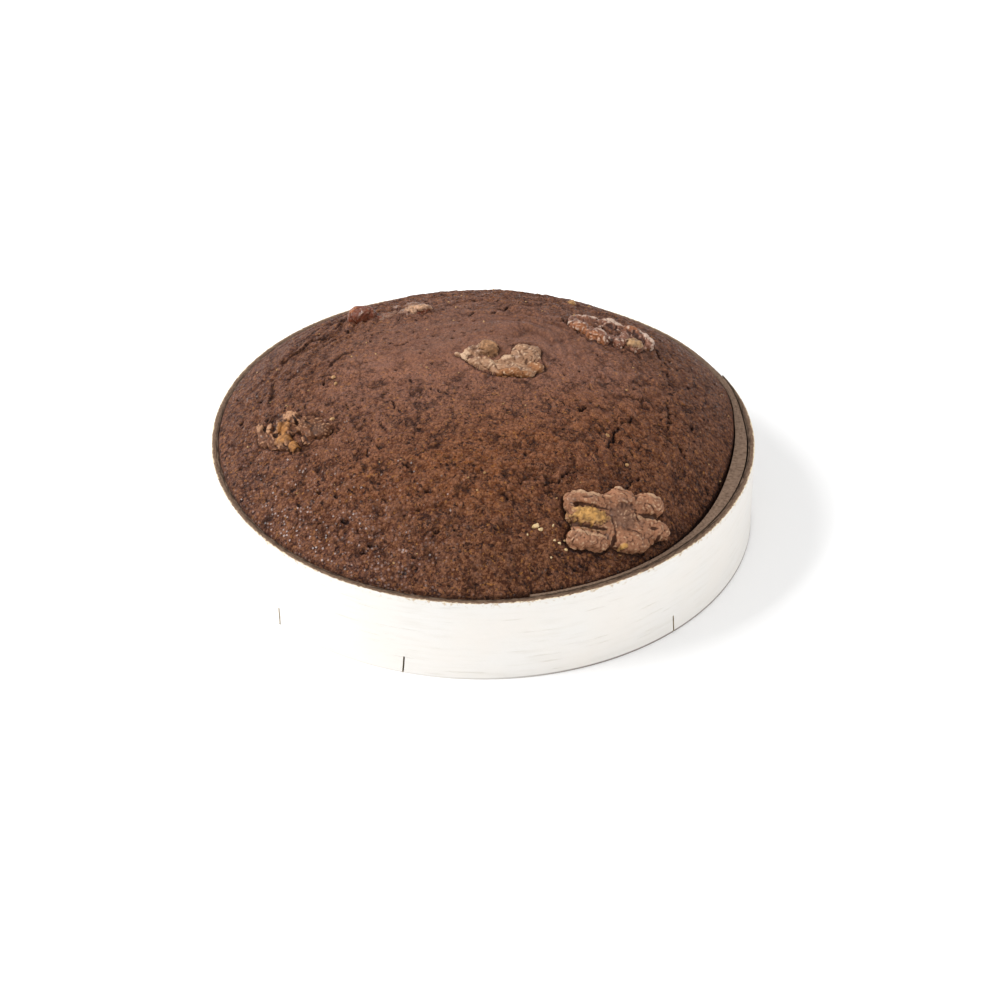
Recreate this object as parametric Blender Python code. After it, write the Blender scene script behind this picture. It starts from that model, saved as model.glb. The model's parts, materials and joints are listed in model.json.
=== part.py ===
"""Walnut cake: a round domed cake in its own paper case, with five walnut halves baked in.

The case is one strip of board bent round into a ring, its ends lapped on the right, with a
board disc inside its foot. The cake fills the case and domes up over the rim, and each
walnut half sits in a pocket of the crust. Metres, +Z up. The origin is the middle of the
underside, where the case stands, and -Y is the front.
"""

from math import atan2, copysign, cos, exp, hypot, pi, radians, sin

import bmesh
import bpy
from mathutils import Matrix, Vector, noise

MM = 0.001
noise.seed_set(7)                # the folds come out the same on every run

# The paper case.
CASE_RADIUS = 90 * MM
CASE_HEIGHT = 30 * MM
BOARD = 2.2 * MM                 # thickness of the board
LAP_GAP = 0.35 * MM              # air between the two layers of the lap
LAP_THIN = 1.0 * MM              # inner layer of the lap where it is pressed flat
LAP_THICK = 4.6 * MM             # the same layer where it has swollen and bowed inwards
LAP_START = radians(25)          # outer end of the strip, seen from above, from +X
LAP_TURN = radians(105)          # how far the strip goes on past one full turn
LAP_TUCK = radians(20)           # arc in which the strip slips under its own start
LAP_FADE = radians(6)            # arc in which the cake closes up past the inner end
PARED = 0.15                     # the strip's outer end is pared down to this share of the board
SWELL_AT = radians(-12)
SWELL_WIDTH = radians(25)
STRIP_STEP = radians(3)

SLIT_WIDTH = 0.55 * MM
SLIT_HEIGHT = 6.5 * MM
SLIT_ANGLES = (-135.2, -105.5, -46.7, 18, 81, 144)      # degrees, all round the foot
SLIT_LEAN = radians(4)

DISC_THICKNESS = 1.5 * MM
DISC_SIDES = 96

# The cake.
FIT_GAP = 0.3 * MM               # between any two pieces that touch
SHRINK_GAP = 2.2 * MM            # the cake has drawn back this far from the case on one side
SHRINK_AT = radians(-42)
SHRINK_WIDTH = radians(34)
DOME_HEIGHT = 27 * MM            # top of the cake above the rim
DOME_POWER = 2.8                 # how flat the top is and how steep the edge
EDGE_ABOVE_RIM = 0.6 * MM
EDGE_SUNK = 3.8 * MM             # the crust's edge lies lower where the cake has shrunk
SHOULDER = 1.6 * MM              # rounding where the dome turns down into the side
LEAN = 0.045                     # the right half rose a little higher than the left
LUMP_HEIGHT = 0.6 * MM
LUMP_SIZE = 17 * MM
# Where the crust swells: middle, half length and half width in millimetres, turn in degrees,
# and height in millimetres.
SWELLS = (
    (9.0, 23.0, 15.0, 6.5, -6, 2.4),                # brow behind the centre half
    (-58.0, 40.0, 15.0, 4.5, 36, 1.3),              # roll along the upper left edge
    (-60.0, 10.0, 5.0, 10.0, 0, 0.9),
    (22.0, 31.0, 7.0, 8.0, 0, 0.9),
)
TOP_RINGS = 26                   # rings of triangles from the middle of the top to its edge

# The walnut halves. A seat is the place on the dome, in millimetres, where a half is pressed in.
WALNUT_SEATS = {
    "walnut_front": (42.2, -57.8),
    "walnut_centre": (6.0, 4.5),
    "walnut_left": (-61.5, -19.5),
    "walnut_back_left": (-31.0, 42.5),
    "walnut_back_right": (42.4, 27.0),
}

# The lobes of each half in millimetres from its seat: the place of the middle (x to the
# right, y up the slope, z out of the crust), the half length, half width and half height,
# and the turn in degrees. The last lobe is the flat heel under the others, which joins them.
WALNUT_LOBES = {
    "walnut_front": (
        (-10.9, 3.2, 0.4, 7.6, 3.0, 3.6, 2),         # back left lobe
        (-17.2, 1.2, 0.0, 1.8, 3.0, 3.0, -8),        # and its curled tip
        (-10.1, -1.8, -0.6, 7.0, 3.0, 3.4, 2),       # broken flesh between the left lobes
        (-8.0, -6.0, -1.0, 6.2, 1.7, 3.2, 0),        # low fold beside it
        (-10.4, -10.2, 0.3, 7.5, 3.2, 3.6, -3),      # front left lobe
        (0.5, 7.0, 0.6, 4.3, 3.4, 3.9, 4),           # back knob
        (1.4, 0.2, -0.8, 4.8, 4.8, 3.6, 0),          # bridge between the two sides
        (4.9, -7.9, 0.5, 6.4, 3.8, 3.7, 0),          # front knob
        (11.2, 6.2, 0.4, 5.8, 4.1, 3.8, 2),          # back right lobe
        (11.7, -2.5, 0.4, 6.8, 3.6, 3.7, 4),         # front right lobe
        (0.0, -1.5, -2.2, 15.6, 9.4, 3.2, 0),
    ),
    "walnut_centre": (
        (-5.4, -3.8, 0.2, 6.4, 2.4, 2.8, -34),       # long front ridge, in two bends
        (4.2, -8.0, 0.2, 7.6, 2.6, 2.8, -8),
        (-11.6, 1.2, 0.4, 4.4, 1.2, 1.3, -38),       # its thin tip
        (-4.9, 4.0, 1.0, 3.6, 3.0, 4.4, 10),         # upright lobe and its shoulders
        (-8.8, 3.4, 0.2, 3.4, 2.6, 3.0, -14),
        (-1.6, 4.6, 0.0, 2.8, 2.2, 2.8, 0),
        (1.8, -0.8, 0.2, 2.6, 1.6, 2.4, -20),
        (8.4, 2.2, 0.1, 5.4, 4.6, 2.9, -10),         # broad right lobe
        (11.4, -5.8, -0.3, 3.2, 3.0, 2.7, 10),       # broken end
        (1.0, -1.4, -2.8, 12.4, 7.6, 2.6, -16),
    ),
    "walnut_left": (
        (-11.4, 6.6, -0.4, 1.8, 2.8, 2.6, 10),       # outer knob
        (-7.0, 4.2, 0.0, 1.4, 4.6, 2.9, 4),          # upright folds
        (-4.0, 2.8, -0.1, 1.2, 4.8, 2.8, 2),
        (0.4, 1.4, -0.4, 1.3, 4.2, 2.7, -14),
        (0.0, 6.8, 0.0, 3.4, 2.2, 2.9, -14),         # cap behind them
        (-1.8, 1.8, -1.2, 2.4, 3.8, 2.7, 0),         # flesh between them
        (-1.7, -5.2, -0.2, 3.2, 3.0, 2.8, -6),       # front block
        (-6.2, -1.8, -0.4, 2.4, 2.9, 2.6, 0),
        (1.9, -8.0, -0.6, 1.8, 2.3, 2.5, 0),
        (4.4, 0.8, -0.3, 1.6, 4.2, 2.7, -10),
        (7.0, -3.2, -0.2, 1.9, 3.9, 2.8, 6),
        (11.0, -4.2, -0.4, 3.4, 3.2, 2.7, -16),      # lobe beyond the hole
        (0.4, 0.0, -2.8, 11.8, 7.8, 2.3, -14),
    ),
    "walnut_back_left": (
        (-9.6, 1.0, 0.7, 4.9, 4.4, 3.8, -12),        # proud glossy lobe
        (-1.4, -0.6, -0.8, 4.6, 2.7, 2.5, -4),       # front row of lobes
        (5.6, -0.6, -0.6, 4.2, 2.6, 2.5, -2),
        (11.2, -2.4, -0.6, 2.8, 2.6, 2.5, -6),       # broken end
        (1.4, 4.6, -0.8, 4.2, 2.6, 2.5, -6),         # back row of lobes
        (8.2, 4.0, -0.7, 4.2, 2.8, 2.6, -10),
        (1.0, 1.4, -2.8, 12.6, 6.4, 2.4, -4),
    ),
    "walnut_back_right": (
        (-11.0, -1.6, 0.2, 4.2, 3.0, 2.8, -24),      # front row of lobes
        (-4.6, -6.0, 0.4, 4.4, 3.1, 2.9, -32),
        (2.6, -6.4, -0.2, 2.2, 3.2, 2.5, 0),
        (4.6, -2.6, 0.0, 1.9, 4.6, 2.7, -4),         # upright fold beside the hollow
        (8.2, -6.2, 0.0, 3.0, 2.9, 2.5, -10),        # broken flesh
        (12.7, 1.8, 0.0, 4.8, 2.0, 2.6, -66),        # right ridge
        (7.4, 6.2, 0.0, 3.8, 2.1, 2.6, -20),         # back row of lobes
        (0.4, 7.6, -0.1, 4.6, 2.1, 2.6, -8),
        (-7.6, 8.4, -0.4, 5.0, 2.0, 2.5, 6),
        (-12.8, 3.6, -0.5, 2.0, 4.4, 2.5, 10),
        (0.2, 1.0, -2.8, 13.4, 8.6, 2.5, -8),
    ),
}

LOBE_FACETS = 3                  # how finely each lobe's ball is divided
LOBE_BOXY = 0.82                 # below 1 a lobe is squarer than a ball, seen from above
LOBE_FLAT = 0.62                 # below 1 the top of a lobe is flatter than a ball's
FOLD_SIZE = 4.5 * MM             # the lobes are warped in folds of about this size
FOLD_DEPTH = 0.6 * MM
FUSE_SIZE = 0.75 * MM            # grid on which the lobes of a half are fused
WALNUT_TRIANGLES = 900
POCKET_TRIANGLES = 700
POCKET_GROW = 0.42 * MM          # a pocket is this much wider than its walnut all round
CLEARED_HALF_HEIGHT = 4.0        # crust over the heel is cleared this high, in millimetres


def clear_scene():
    for thing in list(bpy.data.objects):
        bpy.data.objects.remove(thing, do_unlink=True)


def principled(name, colour, roughness):
    """A plain Principled material."""
    material = bpy.data.materials.new(name)
    material.use_nodes = True
    shader = material.node_tree.nodes["Principled BSDF"]
    shader.inputs["Base Color"].default_value = (*colour, 1.0)
    shader.inputs["Roughness"].default_value = roughness
    shader.inputs["Metallic"].default_value = 0.0
    material.diffuse_color = (*colour, 1.0)
    return material


def new_object(name, bm, material=None, sharp=radians(40)):
    """Put a finished bmesh into the scene as one smooth-shaded object."""
    bmesh.ops.recalc_face_normals(bm, faces=bm.faces)
    mesh = bpy.data.meshes.new(name)
    bm.to_mesh(mesh)
    bm.free()
    mesh.shade_smooth()
    mesh.set_sharp_from_angle(angle=sharp)
    thing = bpy.data.objects.new(name, mesh)
    bpy.context.scene.collection.objects.link(thing)
    if material:
        mesh.materials.append(material)
    return thing


def as_cutter(thing):
    """A cutter shows as wires and never renders."""
    thing.hide_render = True
    thing.display_type = "WIRE"
    return thing


def subtract(thing, cutter):
    cut = thing.modifiers.new("cut_" + cutter.name, "BOOLEAN")
    cut.operation = "DIFFERENCE"
    cut.solver = "EXACT"
    cut.object = cutter


def smooth_step(value):
    value = min(1.0, max(0.0, value))
    return value * value * (3 - 2 * value)


def hump(angle, middle, width):
    """A smooth rise to 1 round one direction of the cake."""
    off = (angle - middle + pi) % (2 * pi) - pi
    return exp(-(off / width) ** 2)


# The outline of the case, seen from above.

def rim_radius(angle, height=CASE_HEIGHT):
    """Outer radius of the board: pressed a little out of round, more so at the rim."""
    bend = -0.0058 * cos(2 * angle) + 0.0046 * cos(3 * angle) + 0.0041 * sin(3 * angle)
    share = 0.5 + 0.5 * height / CASE_HEIGHT
    return CASE_RADIUS * (1 + share * bend)


def lap_thickness(angle):
    return LAP_THIN + (LAP_THICK - LAP_THIN) * hump(angle, SWELL_AT, SWELL_WIDTH)


def outer_thickness(turn):
    """Thickness of the strip from its pared outer end on."""
    return BOARD * (PARED + (1 - PARED) * smooth_step(turn / LAP_TUCK))


def strip_section(turn):
    """Angle, inset and thickness of the strip after it has turned this far."""
    angle = LAP_START - turn
    past = turn - 2 * pi
    inset = (outer_thickness(past) + LAP_GAP) * smooth_step((past + LAP_TUCK) / LAP_TUCK)
    if past < 0:
        return angle, inset, outer_thickness(turn)
    blend = smooth_step(past / LAP_TUCK)
    return angle, inset, BOARD + (lap_thickness(angle) - BOARD) * blend


def board_depth(angle):
    """How far the board reaches in from its outer face, with the lap's end faded out."""
    turn = (LAP_START - angle) % (2 * pi)
    if turn < LAP_TURN:
        _, inset, thickness = strip_section(turn + 2 * pi)
        return inset + thickness
    _, inset, thickness = strip_section(turn)
    _, end_inset, end_thickness = strip_section(2 * pi + LAP_TURN)
    fade = 1 - smooth_step((turn - LAP_TURN) / LAP_FADE)
    return inset + thickness + fade * (end_inset + end_thickness - BOARD)


def room_radius(angle):
    """Largest radius at this angle that is clear of the board at every height."""
    return min(rim_radius(angle), rim_radius(angle, 0)) - board_depth(angle)


# The paper case.

def bend_strip(bm, length):
    """Roll the straight strip, which lies along X, round into the ring."""
    for vert in bm.verts:
        turn = vert.co.x / length * (2 * pi + LAP_TURN)
        angle, inset, thickness = strip_section(turn)
        radius = rim_radius(angle, vert.co.z) - inset
        if vert.co.y < BOARD / 2:
            radius -= thickness
        vert.co.x = radius * cos(angle)
        vert.co.y = radius * sin(angle)


def foot_slits():
    """Thin cuts up into the foot of the outer layer, all in one cutter."""
    bm = bmesh.new()
    depth = BOARD + LAP_GAP / 2
    for index, degrees in enumerate(SLIT_ANGLES):
        angle = radians(degrees)
        reach = rim_radius(angle, 0)
        size = Matrix.Diagonal((2 * depth, SLIT_WIDTH, 2 * SLIT_HEIGHT, 1))
        lean = Matrix.Rotation(SLIT_LEAN * (-1) ** index, 4, "X")
        place = Matrix.Rotation(angle, 4, "Z") @ Matrix.Translation((reach, 0, 0))
        bmesh.ops.create_cube(bm, size=1, matrix=place @ lean @ size)
    return as_cutter(new_object("foot_slit_cutter", bm))


def make_case_wall(material):
    """One strip of board, cut straight and bent round with its ends lapped."""
    length = CASE_RADIUS * (2 * pi + LAP_TURN)
    steps = round((2 * pi + LAP_TURN) / STRIP_STEP)
    bm = bmesh.new()
    place = Matrix.Translation((length / 2, BOARD / 2, CASE_HEIGHT / 2))
    size = Matrix.Diagonal((length, BOARD, CASE_HEIGHT, 1))
    bmesh.ops.create_cube(bm, size=1, matrix=place @ size)
    long_edges = [e for e in bm.edges if abs(e.verts[0].co.x - e.verts[1].co.x) > length / 2]
    bmesh.ops.subdivide_edges(bm, edges=long_edges, cuts=steps - 1, use_grid_fill=True)
    bend_strip(bm, length)
    wall = new_object("case_wall", bm, material)
    subtract(wall, foot_slits())


def make_case_disc(material):
    """The board disc that lies inside the foot of the ring."""
    bm = bmesh.new()
    made = bmesh.ops.create_circle(bm, segments=DISC_SIDES, radius=1, cap_ends=True)
    for vert in made["verts"]:
        angle = atan2(vert.co.y, vert.co.x)
        vert.co *= room_radius(angle) - FIT_GAP
    face = bm.faces[:]
    raised = bmesh.ops.extrude_face_region(bm, geom=face)["geom"]
    lifted = [g for g in raised if isinstance(g, bmesh.types.BMVert)]
    bmesh.ops.translate(bm, verts=lifted, vec=(0, 0, DISC_THICKNESS))
    new_object("case_disc", bm, material)


# The cake.

def shrink(angle):
    return hump(angle, SHRINK_AT, SHRINK_WIDTH)


def cake_radius(angle):
    return room_radius(angle) - FIT_GAP - SHRINK_GAP * shrink(angle)


def crust_height(x, y):
    """Height of the smooth crust above the ground at a place on the cake."""
    angle = atan2(y, x)
    share = min(1.0, hypot(x, y) / cake_radius(angle))
    edge = CASE_HEIGHT + EDGE_ABOVE_RIM - EDGE_SUNK * shrink(angle) * share ** 6
    rise = (DOME_HEIGHT - EDGE_ABOVE_RIM) * (1 - share ** DOME_POWER)
    return edge + rise + LEAN * x * (1 - share ** 2)


def lumps(x, y):
    """The low swells of a top that rose unevenly in the oven."""
    where = Vector((x / LUMP_SIZE, y / LUMP_SIZE, 3.7))
    height = LUMP_HEIGHT * (noise.noise(where) + 0.5 * noise.noise(where * 2.1))
    for middle_x, middle_y, length, width, turn, rise in SWELLS:
        off = Matrix.Rotation(radians(-turn), 2) @ Vector((x / MM - middle_x, y / MM - middle_y))
        height += rise * MM * exp(-(off.x / length) ** 2 - (off.y / width) ** 2)
    return height


def hexagon_disc(bm, rings):
    """A disc of even triangles: a fan of six, divided and drawn out to a unit circle."""
    bmesh.ops.create_circle(bm, segments=6, radius=1, cap_ends=True, cap_tris=True)
    bmesh.ops.subdivide_edges(bm, edges=bm.edges, cuts=rings - 1, use_grid_fill=True)
    for vert in bm.verts:
        reach = hypot(vert.co.x, vert.co.y)
        if reach == 0:
            continue
        side = (atan2(vert.co.y, vert.co.x) + pi / 6) % (pi / 3) - pi / 6
        vert.co *= cos(side) / cos(pi / 6)


def make_cake(material):
    """One solid body: domed top, rounded shoulder, straight side and flat underside."""
    bm = bmesh.new()
    hexagon_disc(bm, TOP_RINGS)
    top = bm.faces[:]
    outer_edges = [e for e in bm.edges if e.is_boundary]
    for vert in bm.verts:
        angle = atan2(vert.co.y, vert.co.x)
        reach = vert.co.to_2d().length
        inset = SHOULDER * 0.4 * smooth_step((reach - 0.9) / 0.1)
        vert.co *= cake_radius(angle) - inset
        x, y = vert.co.x, vert.co.y
        vert.co.z = crust_height(x, y) + lumps(x, y) * (1 - reach ** 8)
    side = extrude_ring(bm, outer_edges)
    for vert in side["verts"]:
        angle = atan2(vert.co.y, vert.co.x)
        vert.co.xy = cake_radius(angle) * Vector((cos(angle), sin(angle)))
        vert.co.z -= SHOULDER
    foot = extrude_ring(bm, side["edges"])
    for vert in foot["verts"]:
        vert.co.z = DISC_THICKNESS + FIT_GAP
    bmesh.ops.edgeloop_fill(bm, edges=foot["edges"])
    bmesh.ops.triangulate(bm, faces=[f for f in bm.faces if f not in top])
    return new_object("cake", bm, material)


def extrude_ring(bm, edges):
    """Draw an open edge loop out into a new wall, and return what is new at its end."""
    made = bmesh.ops.extrude_edge_only(bm, edges=edges)["geom"]
    verts = [g for g in made if isinstance(g, bmesh.types.BMVert)]
    ends = [g for g in made if isinstance(g, bmesh.types.BMEdge) and g.is_boundary]
    return {"verts": verts, "edges": ends}


# The walnut halves.

def seat_matrix(x, y):
    """Frame of a seat: z out of the crust, x to the right, y up the slope."""
    step = 0.5 * MM
    slope_x = (crust_height(x + step, y) - crust_height(x - step, y)) / (2 * step)
    slope_y = (crust_height(x, y + step) - crust_height(x, y - step)) / (2 * step)
    out = Vector((-slope_x, -slope_y, 1)).normalized()
    right = (Vector((1, 0, 0)) - out * out.x).normalized()
    up = out.cross(right)
    frame = Matrix((right, up, out)).transposed().to_4x4()
    return Matrix.Translation((x, y, crust_height(x, y))) @ frame


def squared(point):
    """A point of the unit ball, moved out to the squarer and flatter shape of a lobe."""
    powers = (LOBE_BOXY, LOBE_BOXY, LOBE_FLAT)
    return Vector([copysign(abs(part) ** power, part) for part, power in zip(point, powers)])


def fused_lobes(name, seat, lobes, grow, triangles, material=None):
    """Balls stretched into lobes, warped, fused into one skin and thinned."""
    bm = bmesh.new()
    for x, y, z, length, width, height, turn in lobes:
        place = Matrix.Translation(Vector((x, y, z)) * MM)
        spin = Matrix.Rotation(radians(turn), 4, "Z")
        size = [half * MM + grow for half in (length, width, height)]
        made = bmesh.ops.create_icosphere(bm, subdivisions=LOBE_FACETS, radius=1)
        for vert in made["verts"]:
            vert.co = squared(vert.co)
        matrix = seat @ place @ spin @ Matrix.Diagonal((*size, 1))
        bmesh.ops.transform(bm, matrix=matrix, verts=made["verts"])
    for vert in bm.verts:
        vert.co += FOLD_DEPTH * noise.noise_vector(vert.co / FOLD_SIZE)
    thing = new_object(name, bm, material)
    fuse = thing.modifiers.new("fuse", "REMESH")
    fuse.mode = "VOXEL"
    fuse.voxel_size = FUSE_SIZE
    fuse.use_smooth_shade = True
    soften = thing.modifiers.new("soften", "SMOOTH")
    soften.factor = 0.5
    soften.iterations = 2
    thin = thing.modifiers.new("thin", "DECIMATE")
    thin.ratio = triangles / fused_triangles(thing)
    thin.use_collapse_triangulate = True
    return thing


def fused_triangles(thing):
    """Triangles of a fused half before it is thinned."""
    thing.modifiers["thin"].show_viewport = False
    graph = bpy.context.evaluated_depsgraph_get()
    mesh = thing.evaluated_get(graph).to_mesh()
    mesh.calc_loop_triangles()
    count = len(mesh.loop_triangles)
    thing.modifiers["thin"].show_viewport = True
    return count


def cleared_heel(lobes):
    """The lobe that clears the crust between the others, so that no loose crumb is left."""
    x, y, _, length, width, _, turn = lobes[-1]
    return (x, y, 0.0, length, width, CLEARED_HALF_HEIGHT, turn)


def make_walnuts(cake, material):
    """Each half, and the pocket that it leaves in the crust."""
    for name, (x, y) in WALNUT_SEATS.items():
        seat = seat_matrix(x * MM, y * MM)
        lobes = WALNUT_LOBES[name]
        fused_lobes(name, seat, lobes, 0.0, WALNUT_TRIANGLES, material)
        hollow = lobes + (cleared_heel(lobes),)
        pocket = fused_lobes(name + "_pocket", seat, hollow, POCKET_GROW, POCKET_TRIANGLES)
        subtract(cake, as_cutter(pocket))


def main():
    clear_scene()
    board = principled("white_lined_board", (0.86, 0.85, 0.82), 0.75)
    crust = principled("baked_crust", (0.18, 0.073, 0.038), 0.6)
    kernel = principled("walnut_kernel", (0.29, 0.15, 0.09), 0.5)
    make_case_wall(board)
    make_case_disc(board)
    cake = make_cake(crust)
    make_walnuts(cake, kernel)


main()
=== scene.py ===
"""A walnut cake in the paper case that it was baked in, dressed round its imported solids.

The sections follow the order in which the cake is made: the case wall, the disc in its
foot, the walnut halves, the cake that rises round them, and the chips and crumbs on top.
"""

import json
from math import atan2, copysign, cos, exp, hypot, pi, radians, sin
from random import Random

import bmesh
import bpy
from mathutils import Matrix, Vector, noise
from mathutils.bvhtree import BVHTree
from mathutils.kdtree import KDTree

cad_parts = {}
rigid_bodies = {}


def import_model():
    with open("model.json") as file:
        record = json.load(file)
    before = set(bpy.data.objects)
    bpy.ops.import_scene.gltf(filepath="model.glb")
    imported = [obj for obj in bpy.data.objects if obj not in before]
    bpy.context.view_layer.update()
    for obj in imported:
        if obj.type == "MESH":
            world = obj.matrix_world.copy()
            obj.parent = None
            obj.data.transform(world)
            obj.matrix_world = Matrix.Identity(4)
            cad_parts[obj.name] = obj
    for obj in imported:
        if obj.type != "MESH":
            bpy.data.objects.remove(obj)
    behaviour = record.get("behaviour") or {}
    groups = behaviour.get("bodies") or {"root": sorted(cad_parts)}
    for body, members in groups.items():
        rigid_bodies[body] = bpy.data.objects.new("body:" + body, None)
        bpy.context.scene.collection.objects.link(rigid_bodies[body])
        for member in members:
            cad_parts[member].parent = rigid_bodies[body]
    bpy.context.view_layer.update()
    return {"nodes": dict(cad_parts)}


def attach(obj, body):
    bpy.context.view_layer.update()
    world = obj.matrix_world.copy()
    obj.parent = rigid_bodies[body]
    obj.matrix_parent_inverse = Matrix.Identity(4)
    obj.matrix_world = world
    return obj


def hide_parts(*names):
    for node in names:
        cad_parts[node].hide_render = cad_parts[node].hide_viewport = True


for leftover in list(bpy.data.objects):
    bpy.data.objects.remove(leftover, do_unlink=True)
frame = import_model()


# The case wall ----------------------------------------------------------------------------
# One strip of grey-brown board with a white paper face, cut straight, slit along its foot
# and rolled into a ring with its ends lapped on the right. Oven heat and fat have browned
# the bare cut edge, and the inner end of the lap has swollen and bowed inwards.

MM = 0.001
noise.seed_set(7)                # the folds come out the same on every run
CASE_RADIUS = 90 * MM
CASE_HEIGHT = 30 * MM
BOARD = 2.2 * MM
PAPER_FACE = 0.38 * MM           # the white face and the pale fibres behind it
LAP_GAP = 0.35 * MM
LAP_THIN = 1.0 * MM
LAP_THICK = 4.6 * MM
LAP_START = radians(25)
LAP_TURN = radians(105)
LAP_TUCK = radians(20)
LAP_FADE = radians(6)
PARED = 0.15
SWELL_AT = radians(-12)
SWELL_WIDTH = radians(25)
SLIT_WIDTH = 0.55 * MM
SLIT_HEIGHT = 6.5 * MM
SLIT_ANGLES = (-135.2, -105.5, -46.7, 18, 81, 144)
SLIT_LEAN = radians(4)

STRIP_TURN = 2 * pi + LAP_TURN
STRIP_LENGTH = CASE_RADIUS * STRIP_TURN
STRIP_STEP = 0.8 * MM            # length of board between two bends of the ring
CUT_LEVELS = (0.5, 3.0, 7.0, 11.0, 15.0, 19.0, 23.0, 26.0, 28.2, 29.5)   # mm above the foot
PLY_DEPTHS = (0.35, 0.9, 1.4)    # mm from the inner face
FRAY = 0.22 * MM                 # how uneven the cut top edge is
FRAY_GRAIN = (0.9 * MM, 0.5 * MM)      # length and depth of its torn fibres
RIPPLE = 0.12 * MM               # how uneven the paper face is
RIPPLE_GRAIN = (16 * MM, 24 * MM)      # length and height of its ripples
ON_FACE = 0.01 * MM              # what lies nearer than this to a face belongs to it
PAPER, CUT_EDGE, INSIDE = range(3)     # the ring's materials in their order


def smooth_step(value):
    value = min(1.0, max(0.0, value))
    return value * value * (3 - 2 * value)


def hump(angle, middle, width):
    """A smooth rise to 1 round one direction of the cake."""
    off = (angle - middle + pi) % (2 * pi) - pi
    return exp(-(off / width) ** 2)


def rim_radius(angle, height=CASE_HEIGHT):
    """Outer radius of the board, pressed a little out of round."""
    bend = -0.0058 * cos(2 * angle) + 0.0046 * cos(3 * angle) + 0.0041 * sin(3 * angle)
    share = 0.5 + 0.5 * height / CASE_HEIGHT
    return CASE_RADIUS * (1 + share * bend)


def lap_thickness(angle):
    return LAP_THIN + (LAP_THICK - LAP_THIN) * hump(angle, SWELL_AT, SWELL_WIDTH)


def outer_thickness(turn):
    """Thickness of the strip from its pared outer end on."""
    return BOARD * (PARED + (1 - PARED) * smooth_step(turn / LAP_TUCK))


def strip_section(turn):
    """Angle, inset and thickness of the strip after it has turned this far."""
    angle = LAP_START - turn
    past = turn - 2 * pi
    inset = (outer_thickness(past) + LAP_GAP) * smooth_step((past + LAP_TUCK) / LAP_TUCK)
    if past < 0:
        return angle, inset, outer_thickness(turn)
    blend = smooth_step(past / LAP_TUCK)
    return angle, inset, BOARD + (lap_thickness(angle) - BOARD) * blend


def plain_object(name, bm):
    """Put a finished bmesh into the scene as one object."""
    mesh = bpy.data.meshes.new(name)
    bm.to_mesh(mesh)
    bm.free()
    thing = bpy.data.objects.new(name, mesh)
    bpy.context.scene.collection.objects.link(thing)
    return thing


def new_piece(name, bm, materials, sharp=None):
    """Put a finished bmesh into the scene as one smooth-shaded piece that rides on the cake."""
    piece = plain_object(name, bm)
    piece.data.shade_smooth()
    if sharp is not None:
        piece.data.set_sharp_from_angle(angle=sharp)
    for material in materials:
        piece.data.materials.append(material)
    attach(piece, "root")
    return piece


def settled(thing):
    """A fresh bmesh of an object with its modifiers carried out; the object is removed."""
    graph = bpy.context.evaluated_depsgraph_get()
    bm = bmesh.new()
    bm.from_mesh(thing.evaluated_get(graph).to_mesh())
    bpy.data.objects.remove(thing, do_unlink=True)
    return bm


def straight_strip():
    """The flat strip of board along X, inner face at Y = 0 and foot at Z = 0."""
    bm = bmesh.new()
    middle = Matrix.Translation((STRIP_LENGTH / 2, BOARD / 2, CASE_HEIGHT / 2))
    size = Matrix.Diagonal((STRIP_LENGTH, BOARD, CASE_HEIGHT, 1))
    bmesh.ops.create_cube(bm, size=1, matrix=middle @ size)
    cuts = [((0, 0, level * MM), (0, 0, 1)) for level in CUT_LEVELS]
    cuts += [((0, depth * MM, 0), (0, 1, 0)) for depth in PLY_DEPTHS]
    cuts.append(((0, BOARD - PAPER_FACE, 0), (0, 1, 0)))
    for place, across in cuts:
        everything = bm.verts[:] + bm.edges[:] + bm.faces[:]
        bmesh.ops.bisect_plane(bm, geom=everything, plane_co=place, plane_no=across)
    lengthwise = [e for e in bm.edges if e.calc_length() > STRIP_LENGTH / 2]
    steps = round(STRIP_LENGTH / STRIP_STEP)
    bmesh.ops.subdivide_edges(bm, edges=lengthwise, cuts=steps - 1, use_grid_fill=True)
    return bm


def slit_knives():
    """Thin blades that slit the foot of the outer layer of the lap and of the ring."""
    bm = bmesh.new()
    for index, degrees in enumerate(SLIT_ANGLES):
        turn = (LAP_START - radians(degrees)) % (2 * pi)
        lean = Matrix.Rotation(SLIT_LEAN * (-1) ** index, 4, "Y")
        place = Matrix.Translation((turn / STRIP_TURN * STRIP_LENGTH, BOARD / 2, 0))
        size = Matrix.Diagonal((SLIT_WIDTH, 2 * BOARD, 2 * SLIT_HEIGHT, 1))
        bmesh.ops.create_cube(bm, size=1, matrix=place @ lean @ size)
    return plain_object("slit_knives", bm)


def cut_slits(strip):
    knives = slit_knives()
    blank = plain_object("blank_strip", strip)
    cut = blank.modifiers.new("slits", "BOOLEAN")
    cut.operation = "DIFFERENCE"
    cut.solver = "EXACT"
    cut.object = knives
    slit = settled(blank)
    bpy.data.objects.remove(knives, do_unlink=True)
    return slit


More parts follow.
